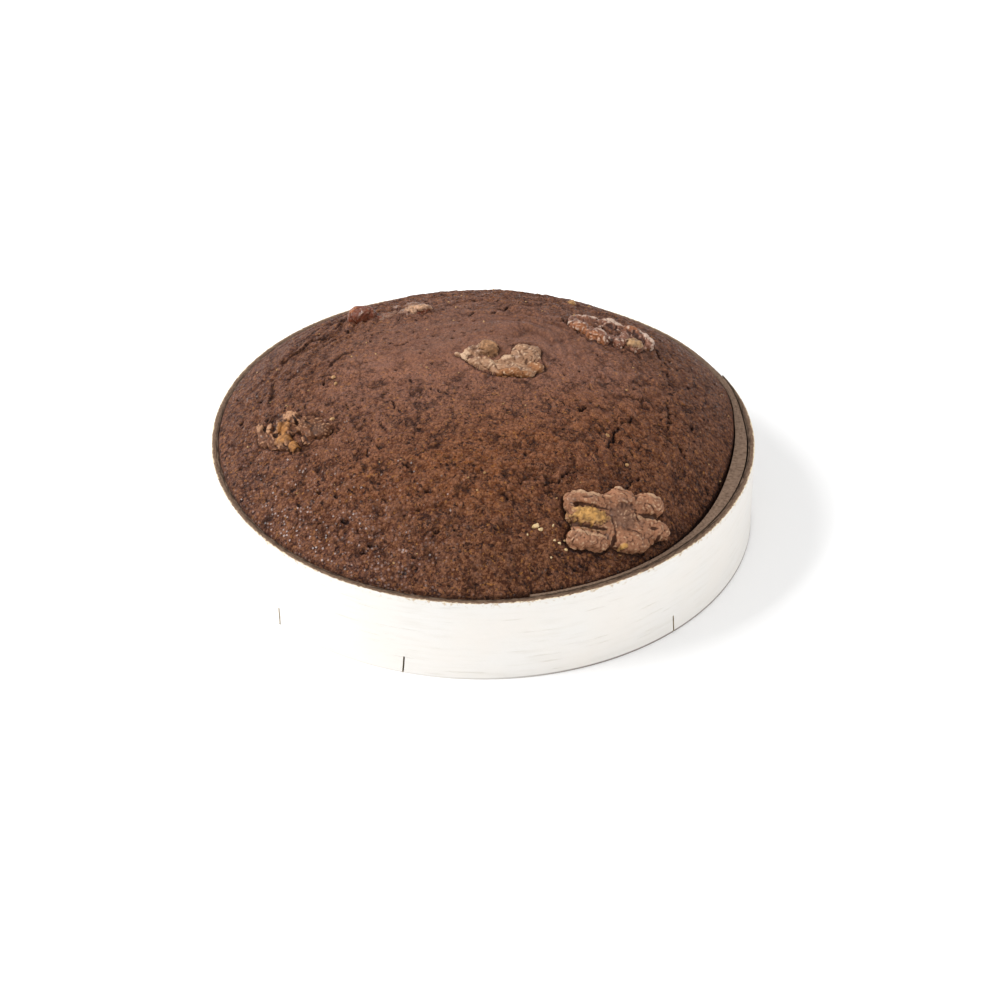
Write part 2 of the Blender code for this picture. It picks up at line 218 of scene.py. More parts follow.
def mark_strip(bm):
    """Write the place on the flat strip into a map, and sort faces into paper, edge and inside."""
    flat = bm.loops.layers.uv.new("strip")
    outward = bm.verts.layers.float.new("outward")
    for vert in bm.verts:
        turn = vert.co.x / STRIP_LENGTH * STRIP_TURN
        buried = smooth_step((turn - 2 * pi + LAP_TUCK) / LAP_TUCK)
        vert[outward] = vert.co.y / BOARD * (1 - 0.3 * buried)
    for face in bm.faces:
        middle = face.calc_center_median()
        inside_lap = middle.x > STRIP_LENGTH * 2 * pi / STRIP_TURN
        if middle.y > BOARD - ON_FACE:
            face.material_index = INSIDE if inside_lap else PAPER
        else:
            face.material_index = INSIDE if middle.y < ON_FACE else CUT_EDGE
        for loop in face.loops:
            unfolded = loop.vert.co.z + BOARD - loop.vert.co.y
            loop[flat].uv = (loop.vert.co.x, unfolded)


def roll_strip(bm):
    """Roll the flat strip into the ring, with a frayed top edge and a slightly rippled face."""
    for vert in bm.verts:
        along, depth, height = vert.co
        angle, inset, thickness = strip_section(along / STRIP_LENGTH * STRIP_TURN)
        radius = rim_radius(angle, height) - inset - thickness * (1 - depth / BOARD)
        slow = noise.noise(Vector((along / RIPPLE_GRAIN[0], height / RIPPLE_GRAIN[1], 1.3)))
        if height > CASE_HEIGHT - 0.2 * MM:
            fast = noise.noise(Vector((along / FRAY_GRAIN[0], depth / FRAY_GRAIN[1], 7.1)))
            height += FRAY * (fast - 0.5 + 0.6 * slow)
            if depth > BOARD / 2:
                radius -= 0.5 * FRAY * (1 + fast)
        elif depth > BOARD / 2:
            radius -= RIPPLE * (0.6 + slow) * smooth_step(height / (2 * MM))
        vert.co = (radius * cos(angle), radius * sin(angle), height)


def add_node(tree, kind, values=(), **settings):
    """Add a shader node with its settings, input values and links."""
    made = tree.nodes.new(kind)
    for name, value in settings.items():
        setattr(made, name, value)
    for name, value in dict(values).items():
        socket = made.inputs[name]
        if isinstance(value, bpy.types.NodeSocket):
            tree.links.new(value, socket)
        else:
            socket.default_value = value
    return made


def combine(tree, first, second, operation="ADD"):
    made = add_node(tree, "ShaderNodeMath", {0: first, 1: second}, operation=operation)
    return made.outputs[0]


def product(tree, share, *factors):
    for factor in factors:
        share = combine(tree, share, factor, "MULTIPLY")
    return share


def ramp(tree, value, low, high, start=0.0, end=1.0):
    """A soft step of a value from start at low to end at high."""
    values = {"Value": value, "From Min": low, "From Max": high, "To Min": start, "To Max": end}
    made = add_node(tree, "ShaderNodeMapRange", values, interpolation_type="SMOOTHSTEP")
    return made.outputs["Result"]


def rgba(colour):
    return colour if isinstance(colour, bpy.types.NodeSocket) else (*colour, 1.0)


def tinted(tree, colour, *layers):
    """A colour with tints laid over it in turn, each by the product of the shares after it."""
    for tint, *shares in layers:
        values = {0: product(tree, *shares), 6: rgba(colour), 7: rgba(tint)}
        colour = add_node(tree, "ShaderNodeMix", values, data_type="RGBA").outputs[2]
    return colour


def new_cloud_group(name, output, detail, roughness, limits=()):
    """A node group with noise of a size in metres: the group, its ends and the noise."""
    group = bpy.data.node_groups.new(name, "ShaderNodeTree")
    group.interface.new_socket(name="Where", in_out="INPUT", socket_type="NodeSocketVector")
    for label in ("Size", *limits):
        group.interface.new_socket(name=label, in_out="INPUT", socket_type="NodeSocketFloat")
    group.interface.new_socket(name=output, in_out="OUTPUT", socket_type="NodeSocketFloat")
    start = group.nodes.new("NodeGroupInput")
    end = group.nodes.new("NodeGroupOutput")
    scale = combine(group, 1.0, start.outputs["Size"], "DIVIDE")
    values = {"Vector": start.outputs["Where"], "Scale": scale}
    values.update({"Detail": detail, "Roughness": roughness})
    return group, start, add_node(group, "ShaderNodeTexNoise", values).outputs["Fac"], end


def make_patches_group():
    """Soft-edged patches of a size in metres, spread unevenly."""
    group, start, cloud, end = new_cloud_group("uneven_patches", "Mask", 3.0, 0.55, ("Low", "High"))
    mask = ramp(group, cloud, start.outputs["Low"], start.outputs["High"])
    group.links.new(mask, end.inputs["Mask"])
    return group


def make_grain_group():
    """Fine raised grain of a size in metres, as a height from 0 to 1."""
    group, _, cloud, end = new_cloud_group("fine_grain", "Height", 4.0, 0.6)
    group.links.new(cloud, end.inputs["Height"])
    return group


uneven_patches = make_patches_group()
fine_grain = make_grain_group()


def patches(tree, where, size, low, high):
    values = {"Where": where, "Size": size, "Low": low, "High": high}
    return add_node(tree, "ShaderNodeGroup", values, node_tree=uneven_patches).outputs["Mask"]


def grain(tree, where, size):
    values = {"Where": where, "Size": size}
    return add_node(tree, "ShaderNodeGroup", values, node_tree=fine_grain).outputs["Height"]


def stretched(tree, where, factors):
    """The same place with its axes drawn out, for streaks."""
    made = add_node(tree, "ShaderNodeVectorMath", {0: where, 1: factors}, operation="MULTIPLY")
    return made.outputs[0]


def object_place(tree):
    return add_node(tree, "ShaderNodeTexCoord").outputs["Object"]


def marked(tree, name):
    """A value that was written on the mesh's vertices under this name."""
    return add_node(tree, "ShaderNodeAttribute", attribute_name=name).outputs["Fac"]


def new_finish(name, **inputs):
    """A material with a Principled shader set so: the material, its tree and the shader."""
    material = bpy.data.materials.new(name)
    material.use_nodes = True
    shader = material.node_tree.nodes["Principled BSDF"]
    for label, value in inputs.items():
        shader.inputs[label.replace("_", " ")].default_value = value
    return material, material.node_tree, shader


def dress(tree, shader, colour, height_map, depth, roughness, raised=None):
    """Give the shader its colour, a bump, and a roughness that follows the height map."""
    height = height_map if raised is None else raised
    bump = add_node(tree, "ShaderNodeBump", {"Height": height, "Distance": depth})
    tree.links.new(bump.outputs["Normal"], shader.inputs["Normal"])
    tree.links.new(colour, shader.inputs["Base Color"])
    tree.links.new(ramp(tree, height_map, *roughness), shader.inputs["Roughness"])


def strip_place(tree):
    """Place on the flat strip in metres, distance along it, and height above its foot."""
    flat = add_node(tree, "ShaderNodeUVMap", uv_map="strip").outputs["UV"]
    parts = add_node(tree, "ShaderNodeSeparateXYZ", {0: flat})
    return flat, parts.outputs["X"], parts.outputs["Y"]


def make_paper_finish():
    """White paper, a little creased and dirty, stained at the rim, with painted shadow along the
    foot on the right.
    """
    material, tree, shader = new_finish("white_paper_face")
    flat, _, height = strip_place(tree)
    streaks = patches(tree, stretched(tree, flat, (1, 9, 1)), 14 * MM, 0.44, 0.74)
    creases = patches(tree, stretched(tree, flat, (1, 26, 1)), 22 * MM, 0.62, 0.72)
    stains = patches(tree, flat, 1.6 * MM, 0.52, 0.68)
    near_rim = ramp(tree, height, 27.6 * MM, 29.9 * MM)
    foot = ramp(tree, height, 0.75 * MM, 0.35 * MM)
    place = add_node(tree, "ShaderNodeSeparateXYZ", {0: object_place(tree)})
    # Painted shadow: the foot is darkened more towards the right, the side away from the key light.
    shaded_side = ramp(tree, place.outputs["X"], -12 * MM, 40 * MM, 0.15, 0.9)
    colour = tinted(
        tree,
        (0.715, 0.695, 0.665),
        ((0.68, 0.655, 0.615), streaks),
        ((0.725, 0.69, 0.645), patches(tree, flat, 26 * MM, 0.35, 0.7)),
        ((0.58, 0.53, 0.46), creases, 0.4),
        ((0.50, 0.38, 0.24), stains, near_rim),
        # painted contact shadow along the foot, strongest on the right
        ((0.16, 0.13, 0.11), foot, shaded_side),
    )
    height_map = grain(tree, stretched(tree, flat, (1, 3, 1)), 1.1 * MM)
    raised = combine(tree, height_map, creases, "SUBTRACT")
    dress(tree, shader, colour, height_map, 0.08 * MM, (0.2, 0.8, 0.52, 0.72), raised)
    return material


def make_cut_edge_finish():
    """Nearly black beside the cake, olive brown in the middle, ragged cream at the paper."""
    material, tree, shader = new_finish("browned_cut_edge", Specular_IOR_Level=0.15)
    flat, along, height = strip_place(tree)
    outward = marked(tree, "outward")
    tucked = ramp(tree, along, CASE_RADIUS * (2 * pi - LAP_TUCK), CASE_RADIUS * 2 * pi)
    plies = patches(tree, stretched(tree, flat, (1, 7, 1)), 3.5 * MM, 0.40, 0.62)
    unbaked = ramp(tree, height, 20 * MM, 12 * MM)
    fringe = patches(tree, flat, 1.3 * MM, 0.36, 0.66)
    ragged = combine(tree, outward, product(tree, fringe, 0.16))
    colour = tinted(
        tree,
        (0.026, 0.015, 0.009),
        ((0.125, 0.075, 0.048), ramp(tree, outward, 0.10, 0.60)),
        ((0.215, 0.135, 0.090), ramp(tree, outward, 0.55, 0.90)),
        ((0.165, 0.108, 0.075), tucked),
        ((0.235, 0.155, 0.105), plies, 0.5),
        ((0.055, 0.030, 0.018), patches(tree, flat, 0.9 * MM, 0.46, 0.64), 0.55),
        ((0.36, 0.31, 0.22), unbaked),
        ((0.66, 0.55, 0.38), ramp(tree, ragged, 0.90, 1.04)),
    )
    dress(tree, shader, colour, grain(tree, flat, 0.5 * MM), 0.15 * MM, (0.3, 0.7, 0.62, 0.85))
    return material


def make_board_inside_finish():
    """Brown board with darker fat stains, nearly black low down where the light fades."""
    material, tree, shader = new_finish("fat_stained_board")
    flat, _, height = strip_place(tree)
    colour = tinted(
        tree,
        (0.150, 0.098, 0.068),
        ((0.235, 0.165, 0.115), patches(tree, stretched(tree, flat, (1, 6, 1)), 4 * MM, 0.4, 0.62)),
        ((0.085, 0.055, 0.032), patches(tree, flat, 7 * MM, 0.4, 0.6), 0.6),
        ((0.05, 0.03, 0.018), ramp(tree, height, 12 * MM, 28 * MM, 1.0, 0.0)),
    )
    dress(tree, shader, colour, grain(tree, flat, 0.8 * MM), 0.12 * MM, (0.3, 0.7, 0.45, 0.7))
    return material


strip = cut_slits(straight_strip())
mark_strip(strip)
roll_strip(strip)
case_finishes = (make_paper_finish(), make_cut_edge_finish(), make_board_inside_finish())
case_ring = new_piece("case_ring", strip, case_finishes, sharp=radians(50))
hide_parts("case_wall")


# The case disc ----------------------------------------------------------------------------
# A flat disc of the same grey-brown board, bare on both sides, which lies inside the foot
# of the ring and carries the cake. Only its underside can be seen.

def make_disc_finish():
    """Bare grey-brown board with a grain, stained here and there."""
    material, tree, shader = new_finish("bare_board")
    where = object_place(tree)
    colour = tinted(
        tree,
        (0.33, 0.27, 0.195),
        ((0.42, 0.35, 0.26), patches(tree, stretched(tree, where, (1, 5, 1)), 5 * MM, 0.4, 0.62)),
        ((0.2, 0.13, 0.08), patches(tree, where, 22 * MM, 0.45, 0.62), 0.5),
    )
    dress(tree, shader, colour, grain(tree, where, 0.7 * MM), 0.1 * MM, (0.3, 0.7, 0.6, 0.85))
    return material


disc_finish = make_disc_finish()
for slot in frame["nodes"]["case_disc"].material_slots:
    slot.material = disc_finish


# The walnut halves ------------------------------------------------------------------------
# Five shelled halves pressed into the batter before baking. Each is a heel with fat lobes
# on it, furrowed by veins. The thin tan skin is darker in the creases, with painted shade
# in its dents, hollows and undersides and painted highlights on its crests, and where a half
# has chipped its golden flesh shows.

FIT_GAP = 0.3 * MM
TOUCH_GAP = 0.12 * MM
SHRINK_GAP = 2.2 * MM
SHRINK_AT = radians(-42)
SHRINK_WIDTH = radians(31)
DOME_HEIGHT = 27 * MM
DOME_POWER = 2.8
EDGE_ABOVE_RIM = 0.6 * MM
EDGE_SUNK = 3.8 * MM
LEAN = 0.045

WALNUT_SEATS = {
    "walnut_front": (42.2, -57.8),
    "walnut_centre": (6.0, 4.5),
    "walnut_left": (-61.5, -19.5),
    "walnut_back_left": (-31.0, 42.5),
    "walnut_back_right": (42.4, 27.0),
}

# Lobes of each half in millimetres from its seat: middle (x right, y up the slope, z out of
# the crust), half length, half width, half height, and turn in degrees. The last is the heel.
WALNUT_LOBES = {
    "walnut_front": (
        (-10.9, 3.5, 0.3, 7.3, 2.8, 3.6, 1),         # back left lobe
        (-16.2, 1.6, 0.0, 1.8, 2.6, 3.0, -8),        # and its curled tip
        (-10.2, -2.0, -0.2, 6.8, 3.1, 3.4, 2),       # broken flesh between the left lobes
        (-9.0, -6.2, -0.5, 6.8, 1.9, 3.2, 0),        # low fold beside it
        (-10.2, -10.0, 0.3, 7.4, 3.2, 3.6, -2),      # front left lobe
        (-3.6, 4.4, 0.0, 2.8, 2.6, 3.4, 0),          # web to the back knob
        (0.9, 6.1, 0.6, 4.6, 3.5, 3.9, 4),           # back knob
        (5.8, 5.2, 0.1, 2.8, 3.4, 3.4, 0),           # web to the back right lobe
        (1.4, 0.2, -0.6, 4.8, 4.8, 3.6, 0),          # bridge between the two sides
        (4.7, -7.9, 0.5, 6.5, 3.8, 3.7, 0),          # front knob
        (11.0, 5.8, 0.4, 5.7, 4.0, 3.8, 2),          # back right lobe
        (7.6, -4.4, 0.1, 3.2, 3.2, 3.6, 0),          # web to the front right lobe
        (11.7, -2.6, 0.4, 6.8, 3.8, 3.7, 2),         # front right lobe
        (0.0, -1.5, -0.8, 15.6, 9.4, 3.2, 0),
    ),
    "walnut_centre": (
        (-5.4, -3.8, 0.2, 6.4, 2.4, 2.8, -34),       # long front ridge, in two bends
        (4.2, -8.0, 0.2, 7.6, 2.6, 2.8, -8),
        (-11.6, 1.2, 0.4, 4.4, 1.2, 1.3, -38),       # its thin tip
        (-4.7, 3.8, 0.5, 4.2, 2.8, 4.0, 16),         # upright lobe and its shoulders
        (-8.8, 3.4, 0.2, 3.4, 2.6, 3.0, -14),
        (-1.6, 4.6, 0.0, 2.8, 2.2, 2.8, 0),
        (1.8, -0.8, 0.2, 2.6, 1.6, 2.4, -20),
        (8.4, 2.2, 0.1, 5.4, 4.6, 2.9, -10),         # broad right lobe
        (11.4, -5.8, -0.3, 3.2, 3.0, 2.7, 10),       # broken end
        (1.0, -1.4, -1.5, 12.4, 7.6, 2.6, -16),
    ),
    "walnut_left": (
        (-10.8, 5.2, -0.2, 1.9, 2.6, 2.7, 10),       # outer knob
        (-9.4, 2.0, -0.8, 3.2, 4.6, 2.4, 0),         # and the low skin that joins it
        (-7.0, 2.8, 0.0, 1.3, 3.4, 2.9, 4),          # upright folds
        (-4.0, 2.8, -0.1, 1.2, 4.8, 2.8, 2),
        (0.4, 1.4, -0.4, 1.3, 4.2, 2.7, -14),
        (0.0, 6.8, 0.0, 3.4, 2.2, 2.9, -14),         # cap behind them
        (-1.8, 1.8, -1.2, 2.4, 3.8, 2.7, 0),         # flesh between them
        (-1.7, -5.2, -0.2, 3.2, 3.0, 2.8, -6),       # front block
        (-6.2, -1.8, -0.4, 2.4, 2.9, 2.6, 0),
        (1.9, -8.0, -0.6, 1.8, 2.3, 2.5, 0),
        (4.4, 0.8, -0.3, 1.6, 4.2, 2.7, -10),
        (7.0, -3.2, -0.2, 1.9, 3.9, 2.8, 6),
        (11.0, -4.2, -0.4, 3.4, 3.2, 2.7, -16),      # lobe beyond the hole
        (0.4, 0.0, -1.1, 11.8, 7.8, 2.3, -14),
    ),
    "walnut_back_left": (
        (-9.6, 1.0, 1.3, 5.5, 4.0, 3.8, -12),        # proud glossy lobe
        (-1.4, -0.6, -0.8, 4.6, 2.7, 2.5, -4),       # front row of lobes
        (5.6, -0.6, -0.6, 4.2, 2.6, 2.5, -2),
        (11.2, -2.4, -0.6, 2.8, 2.6, 2.5, -6),       # broken end
        (1.4, 4.6, -0.8, 4.2, 2.6, 2.5, -6),         # back row of lobes
        (8.2, 4.0, -0.7, 4.2, 2.8, 2.6, -10),
        (1.0, 1.4, -1.4, 12.6, 6.4, 2.4, -4),
    ),
    "walnut_back_right": (
        (-11.0, -1.6, 0.2, 4.2, 3.0, 2.8, -24),      # front row of lobes
        (-4.6, -6.0, 0.4, 4.4, 3.1, 2.9, -32),
        (2.6, -6.4, -0.2, 2.2, 3.2, 2.5, 0),
        (4.6, -2.6, 0.0, 1.9, 4.6, 2.7, -4),         # upright fold beside the hollow
        (8.2, -6.2, 0.0, 3.0, 2.9, 2.5, -10),        # broken flesh
        (12.7, 1.8, 0.0, 4.8, 2.0, 2.6, -66),        # right ridge
        (7.4, 6.2, 0.0, 3.8, 2.1, 2.6, -20),         # back row of lobes
        (0.4, 7.6, -0.1, 4.6, 2.1, 2.6, -8),
        (-7.6, 8.4, -0.4, 5.0, 2.0, 2.5, 6),
        (-12.8, 3.6, -0.5, 2.0, 4.4, 2.5, 10),
        (0.2, 1.0, -1.4, 13.4, 8.6, 2.5, -8),
    ),
}

# Where each half is dented or broken open: middle, half length and half width in millimetres
# from the seat, turn in degrees, and depth in millimetres.
WALNUT_DENTS = {
    "walnut_front": (
        (-1.7, -9.8, 0.5, 2.8, 0, 1.2), (11.8, 1.7, 5.2, 0.4, 0, 1.0),
        (11.6, -3.0, 1.6, 0.6, 0, 0.6), (13.8, -5.8, 0.7, 1.0, 0, 0.9),
        (-14.8, -5.4, 2.0, 0.9, 0, 1.1), (-9.4, -5.7, 5.6, 0.6, 0, 1.2),
        (5.6, 7.2, 0.5, 1.6, -10, 0.7), (-10.4, 1.1, 6.0, 0.4, 2, 0.7),
    ),
    "walnut_centre": ((1.2, 5.2, 2.0, 2.6, 0, 2.0), (-3.0, -0.2, 4.0, 0.7, 0, 1.2)),
    "walnut_left": (
        (2.2, -3.4, 1.9, 1.7, 0, 3.0), (3.4, -6.6, 0.9, 1.8, 0, 2.0),
        (-8.8, 5.6, 0.7, 1.8, 0, 1.6), (-5.0, -0.6, 0.8, 1.2, 30, 1.4),
        (2.6, 2.4, 0.5, 3.0, 20, 1.4), (-9.6, -3.6, 1.6, 0.8, 0, 1.4),
    ),
    "walnut_back_left": ((-2.3, 4.9, 2.6, 2.4, 0, 1.6),),
    "walnut_back_right": ((0.2, 2.4, 2.9, 3.2, 0, 2.6), (9.6, 1.5, 1.0, 3.6, 25, 1.4)),
}

# How the skin is coloured, and where it is broken down to the flesh: middle, half length and
# half width in millimetres from the seat, and turn in degrees. The pale patches are partly
# painted highlight, the amber ones partly painted shade on undersides and front faces, and
# the hollow ones painted shade.
WALNUT_STAINS = {
    "walnut_front": {
        "flesh": ((-10.2, -2.1, 6.3, 2.7, 2), (1.4, -10.6, 1.1, 0.7, 0)),
        "amber_and_shade": ((-15.8, -3.6, 1.6, 2.2, 0), (-9.2, -6.0, 6.2, 1.1, 0)),
        "pale": (
            (-10.5, -8.2, 7.0, 0.8, -3), (12.0, 1.0, 6.5, 1.0, 4), (-13.4, -0.4, 2.4, 1.0, 10),
            (-11.0, 5.4, 5.6, 0.9, 2), (0.4, 9.4, 3.0, 0.8, 0), (12.6, 8.6, 3.4, 0.9, 0),
        ),
        "hollow_shade": ((1.6, -0.5, 4.6, 4.4, 0),),
    },
    "walnut_centre": {
        "flesh": ((-4.0, 3.2, 3.2, 2.6, 0),),
        "amber_and_shade": ((11.6, -6.2, 3.2, 3.0, 0), (4.0, -10.4, 8.0, 1.2, -8)),
        "pale": ((-11.8, 1.4, 4.0, 1.4, -40), (-0.8, -5.2, 2.2, 1.2, 0), (1.8, -0.6, 2.4, 1.4, 0)),
        "hollow_shade": ((-8.8, 3.8, 1.8, 2.0, 0),),
    },
    "walnut_left": {
        "flesh": (
            (-1.8, 1.6, 2.4, 3.4, 0), (-1.6, -4.6, 2.8, 2.2, 0), (1.9, -8.2, 1.6, 2.0, 0),
        ),
        "amber_and_shade": ((-5.4, 2.4, 0.8, 3.2, 0), (6.0, 0.0, 3.0, 4.0, 0)),
        "pale": (
            (0, 6.6, 3.0, 1.8, 0), (-10.8, 5.4, 1.4, 1.8, 0), (-1.6, -6.4, 2.4, 0.8, 0),
            (-7.0, 2.8, 0.9, 2.6, 0),
        ),
        "hollow_shade": ((11.2, -4.4, 3.0, 2.8, 0),),
    },
    "walnut_back_left": {
        "flesh": ((9.8, -1.6, 4.6, 2.6, -6),),
        "amber_and_shade": ((-12.6, 2.0, 1.6, 3.0, 0), (-7.4, 4.6, 4.4, 1.4, 0)),
        "pale": ((3.0, -3.4, 9.0, 0.9, -2), (4.5, 1.5, 9.5, 5.0, 0)),
        "hollow_shade": ((-2.3, 5.0, 2.6, 2.4, 0),),
    },
    "walnut_back_right": {
        "flesh": ((7.8, -6.4, 2.8, 2.4, 0),),
        "amber_and_shade": (
            (-11.4, -3.6, 4.0, 1.2, -24), (-5.4, -8.2, 4.0, 1.3, -34), (6.9, 6.4, 3.2, 1.6, -20),
        ),
        "pale": (
            (-9.6, -0.2, 2.4, 1.0, -24), (-3.6, -4.6, 3.6, 1.0, -34), (12.9, 2.0, 5.0, 1.6, -66),
            (-7.5, 9.2, 4.6, 1.2, 4), (0.6, 7.8, 4.0, 1.2, -10),
        ),
        "hollow_shade": ((0, 2.6, 2.6, 3.0, 0),),
    },
}

LOBE_FACETS = 4
LOBE_BOXY = 0.82
LOBE_FLAT = 0.62
FOLD_SIZE = 4.5 * MM
FOLD_DEPTH = 0.6 * MM
SKIN_GRID = 0.36 * MM            # grid on which the lobes grow together
PUCKERS = ((3.8 * MM, 0.60 * MM), (1.7 * MM, 0.26 * MM))     # size and depth of the puckers
WRINKLE_SIZE = 0.8 * MM
WRINKLE_DEPTH = 0.12 * MM
FLESH_CRUMBS = ((0.45 * MM, 0.75), (0.34 * MM, 1.7))    # height, and how close they lie
FLESH_SUNK = 0.5 * MM            # how far broken flesh lies below the skin


def board_depth(angle):
    """How far the board reaches in from its outer face, with the lap's end faded out."""
    turn = (LAP_START - angle) % (2 * pi)
    if turn < LAP_TURN:
        _, inset, thickness = strip_section(turn + 2 * pi)
        return inset + thickness
    _, inset, thickness = strip_section(turn)
    _, end_inset, end_thickness = strip_section(2 * pi + LAP_TURN)
    fade = 1 - smooth_step((turn - LAP_TURN) / LAP_FADE)
    return inset + thickness + fade * (end_inset + end_thickness - BOARD)


def shrink(angle):
    return hump(angle, SHRINK_AT, SHRINK_WIDTH)


def cake_radius(angle):
    room = min(rim_radius(angle), rim_radius(angle, 0)) - board_depth(angle)
    return room - TOUCH_GAP - SHRINK_GAP * shrink(angle)


def crust_height(x, y):
    """Height of the smooth crust above the ground at a place on the cake."""
    angle = atan2(y, x)
    share = min(1.0, hypot(x, y) / cake_radius(angle))
    edge = CASE_HEIGHT + EDGE_ABOVE_RIM - EDGE_SUNK * shrink(angle) * share ** 6
    rise = (DOME_HEIGHT - EDGE_ABOVE_RIM) * (1 - share ** DOME_POWER)
    return edge + rise + LEAN * x * (1 - share ** 2)


def seat_matrix(x, y):
    """Frame of a seat: z out of the crust, x to the right, y up the slope."""
    step = 0.5 * MM
    slope_x = (crust_height(x + step, y) - crust_height(x - step, y)) / (2 * step)
    slope_y = (crust_height(x, y + step) - crust_height(x, y - step)) / (2 * step)
    out = Vector((-slope_x, -slope_y, 1)).normalized()
    right = (Vector((1, 0, 0)) - out * out.x).normalized()
    up = out.cross(right)
    axes = Matrix((right, up, out)).transposed().to_4x4()
    return Matrix.Translation((x, y, crust_height(x, y))) @ axes


def squared(point):
    """A point of the unit ball, moved out to the squarer and flatter shape of a lobe."""
    powers = (LOBE_BOXY, LOBE_BOXY, LOBE_FLAT)
    return Vector([copysign(abs(part) ** power, part) for part, power in zip(point, powers)])


def grown_lobes(name, seat):
    """The lobes of one half, warped and grown together into one skin."""
    bm = bmesh.new()
    for x, y, z, length, width, height, turn in WALNUT_LOBES[name]:
        place = Matrix.Translation(Vector((x, y, z)) * MM)
        spin = Matrix.Rotation(radians(turn), 4, "Z")
        size = Matrix.Diagonal((length * MM, width * MM, height * MM, 1))
        made = bmesh.ops.create_icosphere(bm, subdivisions=LOBE_FACETS, radius=1)
        for vert in made["verts"]:
            vert.co = squared(vert.co)
        bmesh.ops.transform(bm, matrix=seat @ place @ spin @ size, verts=made["verts"])
    for vert in bm.verts:
        vert.co += FOLD_DEPTH * noise.noise_vector(vert.co / FOLD_SIZE)
    thing = plain_object(name + "_lobes", bm)
    fuse = thing.modifiers.new("fuse", "REMESH")
    fuse.mode = "VOXEL"
    fuse.voxel_size = SKIN_GRID
    soften = thing.modifiers.new("soften", "SMOOTH")
    soften.factor = 0.5
    soften.iterations = 7
    return settled(thing)


def inside_patch(place, patch):
    """How far out a place lies from an oval patch's middle, where 1 is its edge."""
    x, y, length, width, turn = patch
    off = Matrix.Rotation(radians(-turn), 2) @ Vector((place.x - x, place.y - y))
    return hypot(off.x / length, off.y / width)


def stained(patches_of_kind, place):
    """Share of one colour patch at a place of a half, from 0 to 1, with a ragged edge."""
    ragged = 0.34 * noise.noise(place * 0.8) + 0.24 * noise.noise(place * 2.1)
    nearest = min(inside_patch(place, patch) for patch in patches_of_kind)
    return smooth_step((1.12 + ragged - nearest) / 0.34)


def puckers(place):
    """Depth of the creases between the puffed-up folds of the skin, in metres."""
    bent = place * MM + 0.9 * MM * noise.noise_vector(place / 2.6)
    depth = WRINKLE_DEPTH * noise.noise(place * MM / WRINKLE_SIZE)
    for size, deepest in PUCKERS:
        depth += deepest * max(0.0, 1 - 2.4 * abs(noise.noise(bent / size)))
    return depth


def dented(name, place):
    """How far a place of a half is pressed in, in metres."""
    ragged = 0.3 * noise.noise(place * 1.1)
    fall = 0.0
    for *patch, depth in WALNUT_DENTS[name]:
        share = smooth_step((1.35 + ragged - inside_patch(place, patch)) / 0.7)
        fall = max(fall, depth * MM * share)
    return fall * smooth_step((place.z + 1.5) / 1.2)


def carve_kernel(bm, name, seat):
    """Press creases and dents into the skin, and mark the colour patches and the creases for the
    finish. Dents count as creases, so painted shade falls in them.
    """
    to_seat = seat.inverted()
    inwards = seat.to_3x3() @ Vector((0, 0, -1))
    layers = {kind: bm.verts.layers.float.new(kind) for kind in WALNUT_STAINS[name]}
    crease = bm.verts.layers.float.new("crease")
    bm.normal_update()
    moves = []
    for vert in bm.verts:
        place = to_seat @ vert.co / MM
        above = smooth_step((place.z + 2.6) / 0.8)
        for kind, patches_of_kind in WALNUT_STAINS[name].items():
            vert[layers[kind]] = above * stained(patches_of_kind, place)
        broken = vert[layers["flesh"]]
        crumbly = sum(high * noise.noise(place * close) for high, close in FLESH_CRUMBS)
        depth = puckers(place) * (1 - broken) + (crumbly - FLESH_SUNK) * broken
        fall = dented(name, place)
        # dents are marked as creases so that the finish paints shade in them
        vert[crease] = fall / (4 * MM)
        moves.append(fall * inwards - vert.normal * depth)
    for vert, move in zip(bm.verts, moves):
        vert.co += move
    bm.normal_update()
    hollow = []
    for vert in bm.verts:
        around = [edge.other_vert(vert).co for edge in vert.link_edges]
        middle = sum(around, Vector()) / len(around)
        hollow.append((middle - vert.co).dot(vert.normal) / SKIN_GRID)
    for vert, value in zip(bm.verts, hollow):
        around = [hollow[edge.other_vert(vert).index] for edge in vert.link_edges]
        vert[crease] += 0.5 * (value + sum(around) / len(around))


